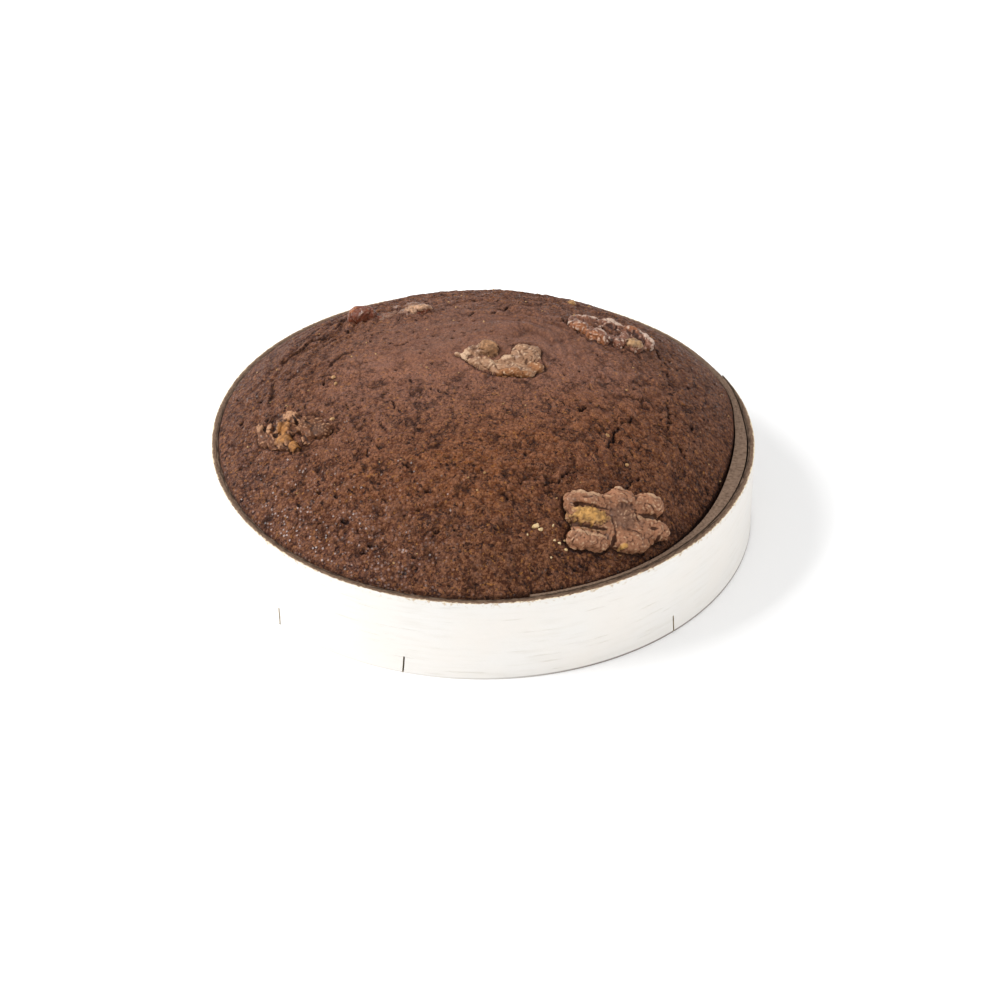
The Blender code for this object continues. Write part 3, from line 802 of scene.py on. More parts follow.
def make_kernel_finish(name, skin, dark, pale, flesh, amber_and_shade, hollow_shade, gloss):
    """Tan skin, darker in the creases and painted with shade in the dents, painted pale on the
    crests as highlight, stained, over golden flesh.
    """
    material, tree, shader = new_finish(name, Specular_IOR_Level=0.30, Coat_Roughness=0.12)
    where = object_place(tree)
    crease = marked(tree, "crease")
    crest_highlight = ramp(tree, crease, -0.03, -0.14)
    low, high, mottled = [
        [share * channel for channel in shade]
        for share, shade in ((0.80, flesh), (1.60, flesh), (0.74, skin))
    ]
    golden = tinted(tree, low, (high, patches(tree, where, 1.5 * MM, 0.40, 0.62)))
    colour = tinted(
        tree,
        skin,
        (mottled, patches(tree, where, 2.6 * MM, 0.38, 0.64)),
        # painted shade in the hollows and recesses of the half
        (hollow_shade, marked(tree, "hollow_shade"), 0.65),
        # amber patches: partly the skin's own orange-brown, partly painted shade on undersides and
        # front faces
        (amber_and_shade, marked(tree, "amber_and_shade"), 0.85),
        # the pale patches are partly paler skin and partly painted highlight on lit edges and lobe
        # tops
        (pale, marked(tree, "pale"), 0.75),
        (dark, patches(tree, where, 0.8 * MM, 0.50, 0.68), 0.35),
        # painted highlight on the convex crests of the lobes
        (pale, crest_highlight, patches(tree, where, 1.3 * MM, 0.40, 0.62), 0.8),
        # darker in the creases: the skin's own darker veins, and painted shade in the dents
        (dark, ramp(tree, crease, 0.02, 0.17, 0.0, 0.9)),
        (golden, marked(tree, "flesh"), 0.9),
    )
    height_map = combine(tree, grain(tree, where, 0.5 * MM), grain(tree, where, 1.2 * MM))
    dress(tree, shader, colour, height_map, 0.35 * MM, (0.6, 1.4, gloss, gloss + 0.25))
    oily = patches(tree, where, 2.6 * MM, 0.58, 0.66)
    tree.links.new(product(tree, oily, 0.5), shader.inputs["Coat Weight"])
    return material


# Skin, creases that are partly painted shade, crests and pale patches that are partly painted
# highlight, flesh, amber patches that are partly painted shade, painted hollow shade of each half,
# and its skin's roughness.
KERNEL_COLOURS = {
    "walnut_front": (
        (0.320, 0.140, 0.070), (0.060, 0.020, 0.009), (0.52, 0.32, 0.190),
        (0.36, 0.190, 0.052), (0.180, 0.080, 0.028), (0.125, 0.062, 0.038), 0.42,
    ),
    "walnut_centre": (
        (0.340, 0.180, 0.098), (0.090, 0.036, 0.016), (0.58, 0.39, 0.25),
        (0.24, 0.118, 0.052), (0.270, 0.100, 0.028), (0.150, 0.072, 0.040), 0.36,
    ),
    "walnut_left": (
        (0.130, 0.043, 0.014), (0.026, 0.008, 0.003), (0.48, 0.25, 0.130),
        (0.25, 0.105, 0.026), (0.130, 0.044, 0.012), (0.070, 0.026, 0.010), 0.40,
    ),
    "walnut_back_left": (
        (0.155, 0.036, 0.013), (0.040, 0.011, 0.005), (0.22, 0.120, 0.075),
        (0.36, 0.205, 0.120), (0.300, 0.095, 0.026), (0.110, 0.052, 0.034), 0.20,
    ),
    "walnut_back_right": (
        (0.210, 0.080, 0.042), (0.045, 0.016, 0.010), (0.62, 0.46, 0.36),
        (0.29, 0.170, 0.080), (0.300, 0.105, 0.036), (0.085, 0.058, 0.050), 0.30,
    ),
}

kernels = {}
for walnut, (seat_x, seat_y) in WALNUT_SEATS.items():
    seat = seat_matrix(seat_x * MM, seat_y * MM)
    half = grown_lobes(walnut, seat)
    half.verts.index_update()
    carve_kernel(half, walnut, seat)
    kernels[walnut] = BVHTree.FromBMesh(half)
    finish = make_kernel_finish(walnut + "_skin", *KERNEL_COLOURS[walnut])
    piece = new_piece(walnut + "_half", half, [finish])
    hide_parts(walnut)


# The cake ---------------------------------------------------------------------------------
# One round sponge, baked in its case until it domed over the rim. The thin brown crust is
# pebbled, pricked with pores where steam came out, torn in a few short cracks, and folded in
# low terraces at the left and the back. It has drawn back from the board at the front right.

SHOULDER = 1.6 * MM
SHOULDER_STEPS = ((0.16, 0.35), (0.03, 0.45), (0.0, 0.6))      # in from the side, and down
LUMP_HEIGHT = 0.6 * MM
LUMP_SIZE = 17 * MM
CRUST_RINGS = 176
PEBBLES = ((3.4 * MM, 0.75 * MM), (1.5 * MM, 0.42 * MM))    # size and height
CELL_SIZE = 2.7 * MM             # the crust has set in cells of about this size
CELL_WARP = 3.1 * MM             # size of the bends in the cells' sides
CELL_RISE = 0.34 * MM
CELL_CREASE = 0.32 * MM
TORN_SPREAD = 6 * MM             # size of the areas where the creases have torn open
TERRACE_WIDTH = 6.2 * MM
TERRACE_HEIGHT = 0.50 * MM
TERRACE_WANDER = 15 * MM         # size of the bends in the terraces
DISC_THICKNESS = 1.5 * MM

# Where the crust swells: middle, half length and half width in millimetres, turn in degrees,
# and height in millimetres.
SWELLS = (
    (9.0, 23.0, 15.0, 6.5, -6, 2.4),                # brow behind the centre half
    (5.0, 14.0, 13.0, 4.5, -8, 1.5),                # and its foot, close to the half
    (-58.0, 40.0, 15.0, 4.5, 36, 1.3),              # roll along the upper left edge
    (-60.0, 10.0, 5.0, 10.0, 0, 0.9),
    (22.0, 31.0, 7.0, 8.0, 0, 0.9),
)
# Ledges where the crust tore and slid while it rose: height in millimetres, and the places
# that each one runs through, with its high side on the right.
LEDGES = (
    (1.1, (
        (-49.7, 40.1), (-53.6, 35.2), (-57.5, 37.5), (-60.9, 31.3), (-65.3, 28.8), (-69.7, 25.1),
    )),
    (0.7, ((-44.3, 47.8), (-49.0, 45.2), (-54.5, 45.6), (-60.0, 40.7), (-65.7, 38.3))),
    (0.6, ((-40.5, 19.7), (-45.5, 18.5), (-48.9, 14.0), (-52.7, 9.4))),
    (0.9, ((-67.6, 17.0), (-69.6, 12.6), (-69.4, 3.8), (-70.2, -2.1))),
    (1.1, (
        (-4.6, 39.2), (2.7, 40.0), (13.0, 40.4), (21.2, 37.6), (25.3, 37.0), (27.7, 27.0),
        (29.6, 23.6),
    )),
    (0.7, ((3.8, 53.8), (17.4, 58.2), (26.3, 56.9))),
    (0.8, ((28.6, 24.9), (32.2, 21.3), (36.4, 16.8), (39.6, 15.2), (43.6, 14.8))),
)
LEDGE_LINES = [(rise * MM, [Vector(p) * MM for p in places]) for rise, places in LEDGES]
LEDGE_REACH = 8 * MM             # how far from its line a ledge still lifts the crust
LEDGE_WARPS = ((1.3, 6 * MM), (0.5, 1.7 * MM))      # how far the line strays, and over what size

# Large pores: place in millimetres from the middle, and length along the slope's contour.
LARGE_PORES = (
    (-17.0, -56.4, 2.4), (-13.7, -70.0, 2.0), (-42.6, -61.3, 3.0), (-32.6, -36.4, 2.2),
    (-57.5, -50.8, 2.0), (-51.3, -48.4, 1.8), (-45.7, -51.8, 1.8), (-34.2, -70.8, 2.6),
    (-20.7, -76.7, 1.8), (-78.7, -2.2, 1.8), (-70.0, -7.8, 1.8), (-77.6, -25.2, 1.6),
    (-23.5, -45.6, 3.4), (60.7, -13.4, 2.2), (68.2, -10.1, 1.8), (-81.2, 14.6, 1.6),
    (-72.5, 5.1, 1.6), (-30.5, -56.9, 1.6), (65.7, -62.4, 1.6), (32.0, -20.2, 3.8),
)
# Cracks: places in millimetres that each one runs through, and its width.
CRACKS = (
    (((48.5, -17.8), (44.8, -23.0), (42.1, -27.4), (41.0, -34.6)), 0.9),
    (((29.0, -46.4), (24.6, -50.4), (19.8, -53.8)), 0.8),
    (((49.8, -41.6), (47.1, -45.4), (44.2, -48.2)), 0.9),
    (((60.5, -2.4), (60.2, -10.8), (60.2, -17.6)), 0.7),
    (((62.4, -21.8), (64.6, -24.3)), 0.8),
    (((-32.0, 21.1), (-27.2, 17.6)), 0.7),
    (((57.4, 25.0), (61.4, 17.4), (61.2, 5.9)), 0.7),
    (((5.8, -56.9), (9.5, -60.1)), 0.7),
    (((-44.2, -13.3), (-41.8, -17.7)), 0.7),
    (((-29.1, -12.2), (-28.2, -20.2)), 0.6),
)
SMALL_PORES = 380
PORES_REACH = 86 * MM
CRACKLETS = 60
CRACKLETS_REACH = 82 * MM
CRACK_STEP = 0.3 * MM            # between the pores that a crack is made of
PORE_LENGTH = (0.45, 0.95)       # half length, half width and depth in millimetres
PORE_WIDTH = (0.26, 0.50)
PORE_DEPTH = (0.3, 0.7)


def terraces(x, y, share, angle):
    """Low folds where the top slid while it rose: height, and how deep in their creases."""
    wander = noise.noise(Vector((x, y, 0)) / TERRACE_WANDER)
    phase = (hypot(x, y) / TERRACE_WIDTH + 1.5 * wander) % 1.0
    wave = 1 - 2 * smooth_step(phase / 0.72) + 2 * smooth_step((phase - 0.72) / 0.28)
    left = hump(angle, radians(140), radians(42)) * smooth_step((share - 0.5) / 0.2)
    behind = hump(angle, radians(50), radians(58)) * smooth_step((share - 0.15) / 0.1)
    behind *= 1 - smooth_step((share - 0.7) / 0.25)
    amount = max(left, 0.8 * behind)
    return TERRACE_HEIGHT * wave * amount, amount * exp(-((phase - 0.74) / 0.07) ** 2)


def set_cells(spot):
    """Height of the small cells that the crust set in, and how open their creases are."""
    warped = spot / CELL_SIZE + 0.55 * noise.noise_vector(spot / CELL_WARP)
    distances, _ = noise.voronoi(warped)
    border = 1 - smooth_step((distances[1] - distances[0]) / 0.24)
    area = noise.noise(spot / TORN_SPREAD + Vector((5, 2, 9)))
    torn = border * smooth_step((area + 0.05) / 0.4)
    return CELL_RISE * (0.5 - distances[0]) - CELL_CREASE * (0.25 * border + torn), torn


def swells(x, y):
    height = 0.0
    for middle_x, middle_y, length, width, turn, rise in SWELLS:
        off = Matrix.Rotation(radians(-turn), 2) @ Vector((x / MM - middle_x, y / MM - middle_y))
        height += rise * MM * exp(-(off.x / length) ** 2 - (off.y / width) ** 2)
    return height


def beside_line(spot, points):
    """Distance from a broken line, positive on its right, and share left near its ends."""
    nearest = 1.0
    side = 1.0
    for start, end in zip(points, points[1:]):
        way = end - start
        along = min(1.0, max(0.0, (spot - start).dot(way) / way.length_squared))
        off = spot - start - way * along
        if off.length < nearest:
            nearest = off.length
            side = way.y * off.x - way.x * off.y
    ends = min((spot - points[0]).length, (spot - points[-1]).length)
    return copysign(nearest, side), smooth_step(ends / (5 * MM))


def ledges(x, y):
    """Height that the ledges add to the crust, and how deep in their crease a place lies."""
    warp = Vector()
    for stray, size in LEDGE_WARPS:
        warp += stray * noise.noise_vector(Vector((x, y, 0)) / size)
    spot = Vector((x, y)) + warp.to_2d() * MM
    height = 0.0
    crease = 0.0
    for rise, points in LEDGE_LINES:
        if min((spot - point).length for point in points) > 2 * LEDGE_REACH:
            continue
        off, share = beside_line(spot, points)
        face = smooth_step((off / MM + 0.25) / 0.5)
        lifted = exp(-max(0.0, off) / (3.4 * MM))
        sunk = 0.4 * exp(min(0.0, off) / (0.9 * MM))
        height += share * rise * (face * lifted - (1 - face) * sunk)
        crease = max(crease, share * exp(-((off / MM + 0.3) / 0.42) ** 2))
    return height, crease


def crust_relief(x, y, share, angle):
    """Height over the smooth dome, how deep in a crease for painted shade, and how far up a pebble
    a place is for painted light and shade.
    """
    where = Vector((x / LUMP_SIZE, y / LUMP_SIZE, 3.7))
    height = LUMP_HEIGHT * (noise.noise(where) + 0.5 * noise.noise(where * 2.1)) + swells(x, y)
    torn_height, crease = ledges(x, y)
    folded_height, fold = terraces(x, y, share, angle)
    height += torn_height + folded_height
    spot = Vector((x, y, 0))
    rise, torn = set_cells(spot)
    for size, most in PEBBLES:
        rise += most * noise.noise(spot / size)
    behind = smooth_step((y + 8 * MM) / (30 * MM))
    rise *= (0.32 + 0.9 * smooth_step((share - 0.25) / 0.45)) * (1 - 0.45 * behind)
    # how far up a pebble, for painted highlight on the tops and painted shade between them
    pebble_shading = smooth_step(0.5 + 0.5 * rise / (0.42 * MM))
    # how dark to paint the place as shade in creases, folds and torn cells
    pit_shade = max(crease, 0.5 * fold, 0.75 * torn * (1 - 0.5 * behind))
    return (height + rise) * (1 - share ** 8), pit_shade, pebble_shading


def random_place(draw, reach):
    """A place drawn evenly from a round of this radius, and its angle."""
    out = reach * draw.random() ** 0.5
    angle = draw.uniform(-pi, pi)
    return (out * cos(angle), out * sin(angle)), angle


def pore_list():
    """Every pore as place, half length, half width, turn and depth, in metres."""
    draw = Random(11)
    pores = []
    for _ in range(SMALL_PORES):
        (x, y), angle = random_place(draw, PORES_REACH)
        long = draw.uniform(*PORE_LENGTH) * MM
        wide = draw.uniform(*PORE_WIDTH) * MM
        turn = angle + pi / 2 + draw.gauss(0, 0.6)
        depth = draw.uniform(*PORE_DEPTH) * MM
        pores.append((x, y, long, wide, turn, depth))
    for x, y, length in LARGE_PORES:
        turn = atan2(y, x) + pi / 2 + draw.gauss(0, 0.25)
        wide = min(0.3 * length, 0.62) * MM
        pores.append((x * MM, y * MM, length * MM / 2, wide, turn, 1.2 * MM))
    for points, width in CRACKS:
        pores += crack_pores([Vector(p) * MM for p in points], width * MM, draw)
    for _ in range(CRACKLETS):
        place, angle = random_place(draw, CRACKLETS_REACH)
        start = Vector(place)
        heading = angle + pi / 2 + draw.gauss(0, 0.7)
        length = draw.uniform(1.5, 4.0) * MM
        end = start + length * Vector((cos(heading), sin(heading)))
        pores += crack_pores([start, end], draw.uniform(0.5, 0.8) * MM, draw)
    return pores


def crack_pores(points, width, draw):
    """A crack is a chain of pores that strays a little to either side."""
    chain = []
    for start, end in zip(points, points[1:]):
        way = end - start
        count = max(3, round(way.length / CRACK_STEP))
        turn = atan2(way.y, way.x)
        for index in range(count):
            spot = start + way * ((index + draw.random()) / count)
            stray = 1.3 * MM * noise.noise(Vector((*spot, 4 * MM)) / (2.0 * MM))
            spot = spot + stray * Vector((-sin(turn), cos(turn)))
            closed = smooth_step((noise.noise(Vector((*spot, 9 * MM)) / (1.5 * MM)) + 0.1) / 0.3)
            wide = width * draw.uniform(0.25, 0.6) * (1 - 0.6 * closed)
            depth = width * draw.uniform(0.9, 1.6) * (1 - 0.6 * closed)
            chain.append((spot.x, spot.y, 1.5 * wide, wide, turn, depth))
    return chain


def hexagon_disc(bm, rings):
    """A disc of even triangles: a fan of six, divided and drawn out to a unit circle."""
    bmesh.ops.create_circle(bm, segments=6, radius=1, cap_ends=True, cap_tris=True)
    bmesh.ops.subdivide_edges(bm, edges=bm.edges, cuts=rings - 1, use_grid_fill=True)
    for vert in bm.verts:
        if vert.co.length < 1e-6:
            continue
        side = (atan2(vert.co.y, vert.co.x) + pi / 6) % (pi / 3) - pi / 6
        vert.co *= cos(side) / cos(pi / 6)


def raise_dome(bm, bake, pit_shade, pebble_shading):
    """Draw the unit disc out to the cake and lift it to the crust's height."""
    for vert in bm.verts:
        angle = atan2(vert.co.y, vert.co.x)
        share = min(1.0, vert.co.to_2d().length)
        inset = SHOULDER * 0.4 * smooth_step((share - 0.9) / 0.1)
        x, y = vert.co.xy * (cake_radius(angle) - inset)
        relief, vert[pit_shade], vert[pebble_shading] = crust_relief(x, y, share, angle)
        vert.co = (x, y, crust_height(x, y) + relief)
        front = 0.15 + 0.85 * hump(angle, radians(-80), radians(85))
        vert[bake] = smooth_step((share - 0.55) / 0.45) * front


def near_in_plan(bm):
    tree = KDTree(len(bm.verts))
    for vert in bm.verts:
        tree.insert((vert.co.x, vert.co.y, 0), vert.index)
    tree.balance()
    return tree


def prick(bm, plan, pit_shade):
    """Press the pores and cracks into the crust."""
    sunk = {}
    for x, y, long, wide, turn, depth in pore_list():
        for place, index, _ in plan.find_range((x, y, 0), 1.3 * max(long, wide) + 0.4 * MM):
            off = Matrix.Rotation(-turn, 2) @ Vector((place.x - x, place.y - y))
            rough = 0.5 * noise.noise(Vector((place.x, place.y, 0)) / (0.9 * MM))
            reach = hypot(off.x / long, off.y / wide) + rough
            if reach < 1.25:
                fall = depth * smooth_step((1.25 - reach) / 0.6)
                sunk[index] = max(sunk.get(index, 0), fall)
    for index, fall in sunk.items():
        vert = bm.verts[index]
        vert.co.z -= fall
        # painted shade in the pores and cracks
        vert[pit_shade] = max(vert[pit_shade], min(1.0, fall / (0.6 * MM)))


# How wide and deep the crevice round a half is, and how far the crust rises against it.
WALNUT_BEDS = {
    "walnut_front": (1.5 * MM, 1.4 * MM, 0.2 * MM),
    "walnut_centre": (1.3 * MM, 1.3 * MM, 0.9 * MM),
    "walnut_left": (1.0 * MM, 1.0 * MM, 0.5 * MM),
    "walnut_back_left": (0.7 * MM, 0.4 * MM, 0.9 * MM),
    "walnut_back_right": (1.0 * MM, 0.9 * MM, 0.8 * MM),
}
CREEP = 3.0 * MM                 # how far from a half the crust starts to rise
WALNUT_REACH = 24 * MM           # no half reaches further than this from its seat


def bed_walnuts(bm, plan, pit_shade):
    """Let the crust rise round each half and over its low parts, with a crevice that is painted
    dark as shade.
    """
    for name, kernel in kernels.items():
        x, y = WALNUT_SEATS[name]
        width, deep, climb = WALNUT_BEDS[name]
        for place, index, _ in plan.find_range((x * MM, y * MM, 0), WALNUT_REACH):
            vert = bm.verts[index]
            ragged = noise.noise(vert.co / (3 * MM))
            _, _, _, gap = kernel.find_nearest(vert.co)
            high = Vector((vert.co.x, vert.co.y, 0.1))
            over, _, _, _ = kernel.ray_cast(high, Vector((0, 0, -1)))
            near = 1 - gap / CREEP if over is None else 1
            level = vert.co.z + climb * (1 + 0.8 * ragged) * smooth_step(near)
            buried = over is not None and over.z < level
            crevice = smooth_step(1 - gap / (width * (1 + 0.6 * ragged)))
            if buried:
                crevice = smooth_step(1 - (level - over.z) / (0.5 * MM))
            vert.co.z = level - deep * crevice * (0.75 + ragged)
            # painted shade in the crevice round the half
            vert[pit_shade] = max(vert[pit_shade], 0.85 * crevice)


def extrude_ring(bm, edges):
    """Draw an open edge loop out into a new wall: its new vertices and its new edges."""
    made = bmesh.ops.extrude_edge_only(bm, edges=edges)["geom"]
    verts = [g for g in made if isinstance(g, bmesh.types.BMVert)]
    ends = [g for g in made if isinstance(g, bmesh.types.BMEdge) and g.is_boundary]
    return verts, ends


def close_cake(bm, rim_edges, pit_shade):
    """Round the shoulder and go down the side to the flat underside."""
    edges = rim_edges
    for inset, drop in SHOULDER_STEPS:
        verts, edges = extrude_ring(bm, edges)
        for vert in verts:
            angle = atan2(vert.co.y, vert.co.x)
            radius = cake_radius(angle) - inset * SHOULDER
            vert.co.x = radius * cos(angle)
            vert.co.y = radius * sin(angle)
            vert.co.z -= drop * SHOULDER
            # painted shade on the side of the cake, most where it has drawn back from the board
            vert[pit_shade] = 0.35 + 0.6 * shrink(angle)
    verts, edges = extrude_ring(bm, edges)
    for vert in verts:
        vert.co.z = DISC_THICKNESS + FIT_GAP
    bmesh.ops.edgeloop_fill(bm, edges=edges)


def make_crust_finish():
    """Matt red-brown crust with painted highlights on its pebbles and painted shade between them
    and in its hollows, golden flecks, and a few wet grains with painted highlights.
    """
    sheen = {"Sheen_Weight": 0.04, "Sheen_Roughness": 0.3, "Sheen_Tint": (0.95, 0.84, 1.0, 1.0)}
    material, tree, shader = new_finish(
        "baked_brown_crust", Specular_IOR_Level=0.06, Coat_Roughness=0.27, **sheen
    )
    where = object_place(tree)
    pit_shade, bake, pebble_shading = [marked(tree, name) for name in ("pit_shade", "bake", "pebble_shading")]
    right, back, _ = add_node(tree, "ShaderNodeSeparateXYZ", {0: where}).outputs
    flat = stretched(tree, where, (1, 1, 0))
    reach = add_node(tree, "ShaderNodeVectorMath", {0: flat}, operation="LENGTH").outputs["Value"]
    coarse = combine(
        tree,
        ramp(tree, reach, 24 * MM, 66 * MM, 0.3, 1.0),
        ramp(tree, back, 18 * MM, -30 * MM, 0.3, 1.0),
        "MAXIMUM",
    )
    left = ramp(tree, right, 12 * MM, -40 * MM)
    far_left = ramp(tree, right, -50 * MM, -82 * MM, 0.0, 0.7)
    uphill = combine(tree, back, product(tree, right, 0.25), "SUBTRACT")
    crown = ramp(tree, uphill, -46 * MM, -6 * MM)
    behind = ramp(tree, back, -4 * MM, 24 * MM)
    middle = ramp(tree, reach, 62 * MM, 15 * MM, 0.0, 0.45)
    warm = patches(tree, where, 22 * MM, 0.36, 0.64)
    folds = patches(tree, stretched(tree, where, (0.3, 1, 1)), 5.5 * MM, 0.42, 0.60)
    away = {0: where, 1: (0.4, 0.3, 0.2)}
    away = add_node(tree, "ShaderNodeVectorMath", away, operation="ADD").outputs[0]

    # Each grain of the crust, 1.05 mm apart, draws a chance to be wet and a chance to be pale.
    grains = add_node(tree, "ShaderNodeTexVoronoi", {"Vector": where, "Scale": 1 / (1.05 * MM)})
    wet, pale, _ = add_node(tree, "ShaderNodeSeparateColor", {0: grains.outputs["Color"]}).outputs
    from_middle = grains.outputs["Distance"]
    bead = product(tree, ramp(tree, from_middle, 0.55, 0.2), ramp(tree, wet, 0.3, 1.0))

    # Small tears: specks, and thin lines where a slow noise passes its middle value, painted nearly
    # black as the shade inside them.
    specks = patches(tree, away, 1.9 * MM, 0.63, 0.67)
    bands = combine(tree, grain(tree, away, 4.5 * MM), 0.5, "SUBTRACT")
    lines = ramp(tree, combine(tree, bands, 0.0, "ABSOLUTE"), 0.016, 0.004)
    lines = product(tree, lines, patches(tree, where, 6 * MM, 0.50, 0.58))
    torn = product(tree, combine(tree, specks, lines, "MAXIMUM"), coarse)

    baked = tinted(tree, (0.066, 0.024, 0.012), ((0.095, 0.045, 0.035), left))
    colour = tinted(
        tree,
        (0.245, 0.080, 0.024),
        ((0.205, 0.068, 0.026), warm),
        ((0.230, 0.110, 0.077), crown, ramp(tree, warm, 0.0, 1.0, 0.8, 1.0)),
        ((0.185, 0.093, 0.067), behind),
        ((0.125, 0.061, 0.043), behind, middle),
        ((0.150, 0.060, 0.036), folds, 0.4),
        ((0.108, 0.053, 0.041), far_left),
        (baked, bake),
        # painted highlight on the pebble tops
        ((0.250, 0.115, 0.070), ramp(tree, pebble_shading, 0.5, 1.0, 0.0, 0.4)),
        # painted shade between the pebbles
        ((0.085, 0.026, 0.010), ramp(tree, pebble_shading, 0.5, 0.0, 0.0, 0.6), coarse),
        ((0.340, 0.145, 0.072), ramp(tree, pale, 0.45, 1.0), coarse, 0.55),
        ((0.070, 0.022, 0.011), ramp(tree, pale, 0.45, 0.0), coarse, 0.45),
        # painted shade in the gaps between the grains
        ((0.050, 0.016, 0.008), ramp(tree, from_middle, 0.40, 0.75), coarse, 0.2),
        ((0.320, 0.138, 0.066), patches(tree, where, 0.85 * MM, 0.50, 0.57), coarse, 0.5),
        ((0.064, 0.020, 0.009), patches(tree, away, 0.90 * MM, 0.50, 0.57), coarse, 0.45),
        ((0.40, 0.170, 0.042), patches(tree, where, 1.2 * MM, 0.62, 0.67), coarse, 0.6),
        # painted highlight: the wet grains at the front left are drawn pale as the glint of the
        # lamps on them
        ((0.36, 0.235, 0.20), bake, left, bead, 0.9),
        # painted shade in the small tears
        ((0.024, 0.008, 0.005), torn, 0.85),
        # painted shade in pores, cracks, creases, crevices and on the cake's side
        ((0.020, 0.007, 0.004), pit_shade),
    )
    height_map = combine(tree, grain(tree, where, 1.1 * MM), grain(tree, where, 0.5 * MM))
    raised = combine(tree, height_map, torn, "SUBTRACT")
    raised = product(tree, combine(tree, raised, from_middle, "SUBTRACT"), coarse)
    dress(tree, shader, colour, height_map, 1.1 * MM, (0.6, 1.4, 0.82, 0.58), raised)
    tree.links.new(ramp(tree, bead, 0.35, 1.0, 0.0, 0.7), shader.inputs["Coat Weight"])
    return material


crust = bmesh.new()
hexagon_disc(crust, CRUST_RINGS)
pit_shade_layer = crust.verts.layers.float.new("pit_shade")
bake_layer = crust.verts.layers.float.new("bake")
pebble_shading_layer = crust.verts.layers.float.new("pebble_shading")
rim_edges = [edge for edge in crust.edges if edge.is_boundary]
raise_dome(crust, bake_layer, pit_shade_layer, pebble_shading_layer)
crust.verts.ensure_lookup_table()
crust.verts.index_update()
crust_plan = near_in_plan(crust)
prick(crust, crust_plan, pit_shade_layer)
bed_walnuts(crust, crust_plan, pit_shade_layer)
crust_top = [vert.co.copy() for vert in crust.verts]
close_cake(crust, rim_edges, pit_shade_layer)
bmesh.ops.recalc_face_normals(crust, faces=crust.faces)
cake_body = new_piece("cake_body", crust, [make_crust_finish()], sharp=radians(70))
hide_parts("cake")


# Nut chips and crumbs ---------------------------------------------------------------------
# Chopped walnut that was stirred into the batter shows as small golden chips in the crust,
# and pale crumbs have fallen from the chipped front half.

def scatter_bits(name, bits, finish, seed):
    """Small jagged bits half sunk in the crust: place in millimetres, size and flatness."""
    draw = Random(seed)
    bm = bmesh.new()
    for x, y, size, flat in bits:
        _, index, _ = crust_plan.find((x * MM, y * MM, 0))
        spot = crust_top[index] + Vector((0, 0, 0.12 * size * MM))
        turn = Matrix.Rotation(draw.uniform(0, 2 * pi), 4, "Z")
        tilt = Matrix.Rotation(draw.uniform(-0.5, 0.5), 4, "X")
        stretch = Matrix.Diagonal((0.5, draw.uniform(0.3, 0.45), 0.5 * flat, 1))
        matrix = Matrix.Translation(spot) @ turn @ tilt @ Matrix.Scale(size * MM, 4) @ stretch
        made = bmesh.ops.create_icosphere(bm, subdivisions=2, radius=1, matrix=matrix)
        for vert in made["verts"]:
            vert.co += 0.22 * size * MM * noise.noise_vector(vert.co / (0.6 * size * MM))
    bmesh.ops.recalc_face_normals(bm, faces=bm.faces)
    piece = new_piece(name, bm, [finish], sharp=radians(35))


def make_bit_finish(name, low, high):
    material, tree, shader = new_finish(name)
    where = object_place(tree)
    colour = tinted(tree, low, (high, patches(tree, where, 1.2 * MM, 0.38, 0.62)))
    dress(tree, shader, colour, grain(tree, where, 0.4 * MM), 0.08 * MM, (0.3, 0.7, 0.4, 0.65))
    return material


NAMED_CHIPS = (
    (30.3, 53.1, 3.4, 0.9), (39.8, -29.9, 2.0, 0.6), (-48.8, 3.9, 1.8, 0.5),
    (-48.0, -0.7, 1.5, 0.5), (46.0, -39.3, 1.4, 0.5), (0.7, -51.6, 1.3, 0.5),
    (-48.2, -19.0, 1.6, 0.5),
)
FALLEN_CRUMBS = (
    (16.7, -67.2, 2.1, 0.8), (18.2, -67.7, 1.6, 0.8), (17.4, -66.4, 0.9, 0.8),
    (14.2, -70.1, 0.9, 0.8), (22.6, -70.2, 0.9, 0.8), (24.5, -70.8, 1.3, 0.8),
    (26.3, -72.1, 1.2, 0.8), (22.3, -66.3, 0.9, 0.8), (21.7, -75.0, 0.8, 0.8),
    (25.6, -69.2, 0.8, 0.8),
)
CHIPS = 60
CHIPS_REACH = 84                 # millimetres

chip_draw = Random(5)
small_chips = []
for _ in range(CHIPS):
    chip_place, _ = random_place(chip_draw, CHIPS_REACH)
    small_chips.append((*chip_place, chip_draw.uniform(0.5, 1.1), 0.5))
chip_finish = make_bit_finish("chopped_walnut", (0.26, 0.125, 0.040), (0.38, 0.22, 0.085))
crumb_finish = make_bit_finish("walnut_crumb", (0.48, 0.32, 0.14), (0.64, 0.47, 0.26))
scatter_bits("nut_chips", list(NAMED_CHIPS) + small_chips, chip_finish, 21)
scatter_bits("nut_crumbs", FALLEN_CRUMBS, crumb_finish, 22)


# The floor, the lights and the camera -----------------------------------------------------
# A plain white floor under a large soft light at the left and a weaker one at the front
# right, with a small lamp for glints and white light from all round.

def make_floor():
    bm = bmesh.new()
    bmesh.ops.create_grid(bm, x_segments=1, y_segments=1, size=4)
    floor = plain_object("floor", bm)
    material, _, _ = new_finish("white_floor", Base_Color=(0.96, 0.96, 0.96, 1), Roughness=0.9)
    floor.data.materials.append(material)


# Power in watts, width in metres, and the way it comes from in degrees: round from +X, and up.
LIGHTS = {
    "key": (23.0, 1.0, 180, 40),
    "front": (6.0, 1.2, -38, 22),
    "glint": (1.5, 0.10, 205, 44),
}
LIGHT_DISTANCE = 1.5
FILL_STRENGTH = 0.79


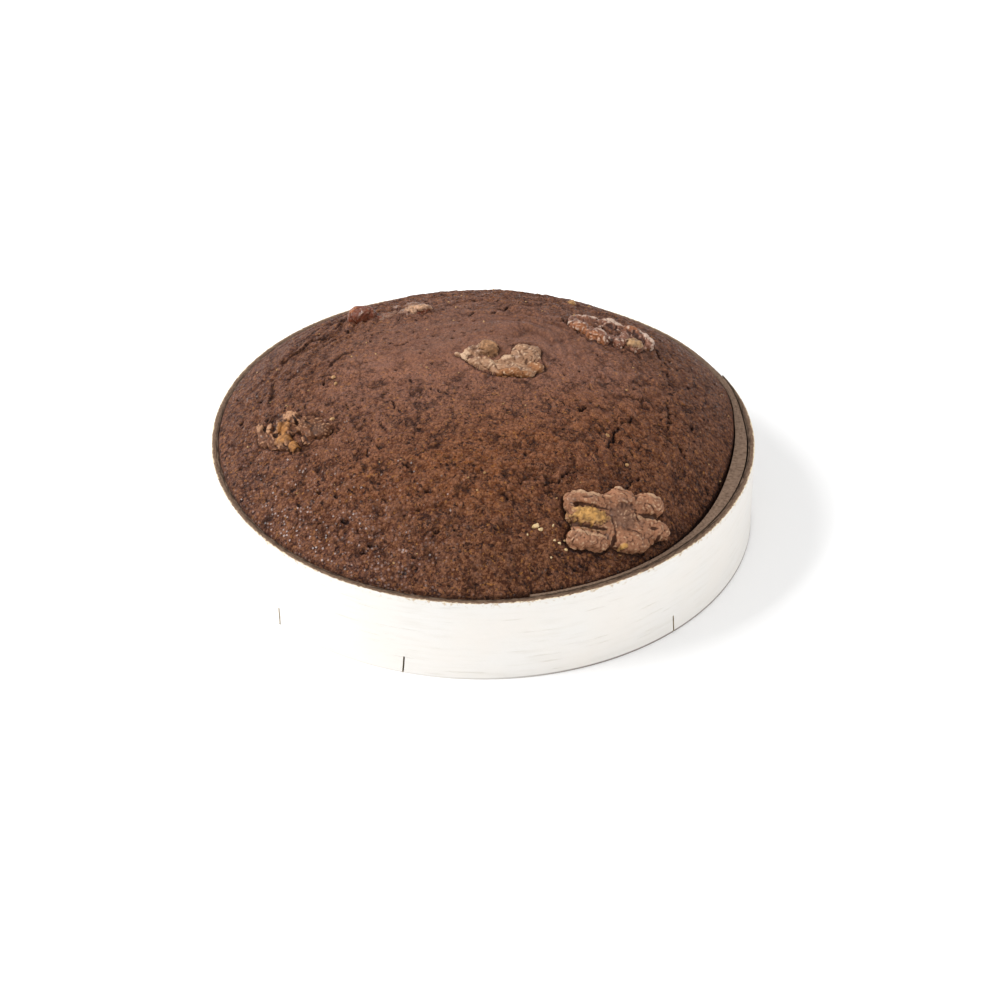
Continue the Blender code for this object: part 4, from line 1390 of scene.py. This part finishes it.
def make_lights():
    """Round soft lights that look at the cake, and white light from all round."""
    for name, (power, size, azimuth, elevation) in LIGHTS.items():
        level = cos(radians(elevation))
        round_z = radians(azimuth)
        way = Vector((level * cos(round_z), level * sin(round_z), sin(radians(elevation))))
        light = bpy.data.lights.new(name, "AREA")
        light.shape = "DISK"
        light.size = size
        light.energy = power
        lamp = bpy.data.objects.new(name, light)
        lamp.location = Vector((0, 0, CASE_HEIGHT)) + way * LIGHT_DISTANCE
        lamp.rotation_mode = "QUATERNION"
        lamp.rotation_quaternion = way.to_track_quat("Z", "Y")
        bpy.context.scene.collection.objects.link(lamp)
    world = bpy.data.worlds.new("white_room")
    world.use_nodes = True
    world.node_tree.nodes["Background"].inputs["Color"].default_value = (1, 1, 1, 1)
    world.node_tree.nodes["Background"].inputs["Strength"].default_value = FILL_STRENGTH
    bpy.context.scene.world = world
    bpy.context.scene.view_settings.view_transform = "Standard"


VIEW_ELEVATION = radians(34.45)
VIEW_DISTANCE = 12 * CASE_RADIUS
VIEW_ROLL = radians(0.42)
PICTURE_SIDE = 1000              # pixels
RIM_CENTRE = (481.9, 436.3)      # pixel where the middle of the rim lies
FOCUS = 3277.0                   # focal length in pixels
SENSOR = 36.0


def make_camera():
    aim = Vector((0, 0, CASE_HEIGHT))
    back = Vector((0, -cos(VIEW_ELEVATION), sin(VIEW_ELEVATION)))
    right = Vector((1, 0, 0))
    turn = Matrix((right, back.cross(right), back)).transposed().to_4x4()
    camera_data = bpy.data.cameras.new("camera")
    camera_data.sensor_width = SENSOR
    camera_data.lens = FOCUS / PICTURE_SIDE * SENSOR
    camera_data.shift_x = 0.5 - RIM_CENTRE[0] / PICTURE_SIDE
    camera_data.shift_y = RIM_CENTRE[1] / PICTURE_SIDE - 0.5
    camera = bpy.data.objects.new("camera", camera_data)
    place = Matrix.Translation(aim + back * VIEW_DISTANCE)
    camera.matrix_world = place @ turn @ Matrix.Rotation(VIEW_ROLL, 4, "Z")
    bpy.context.scene.collection.objects.link(camera)
    bpy.context.scene.camera = camera


make_floor()
make_lights()
make_camera()
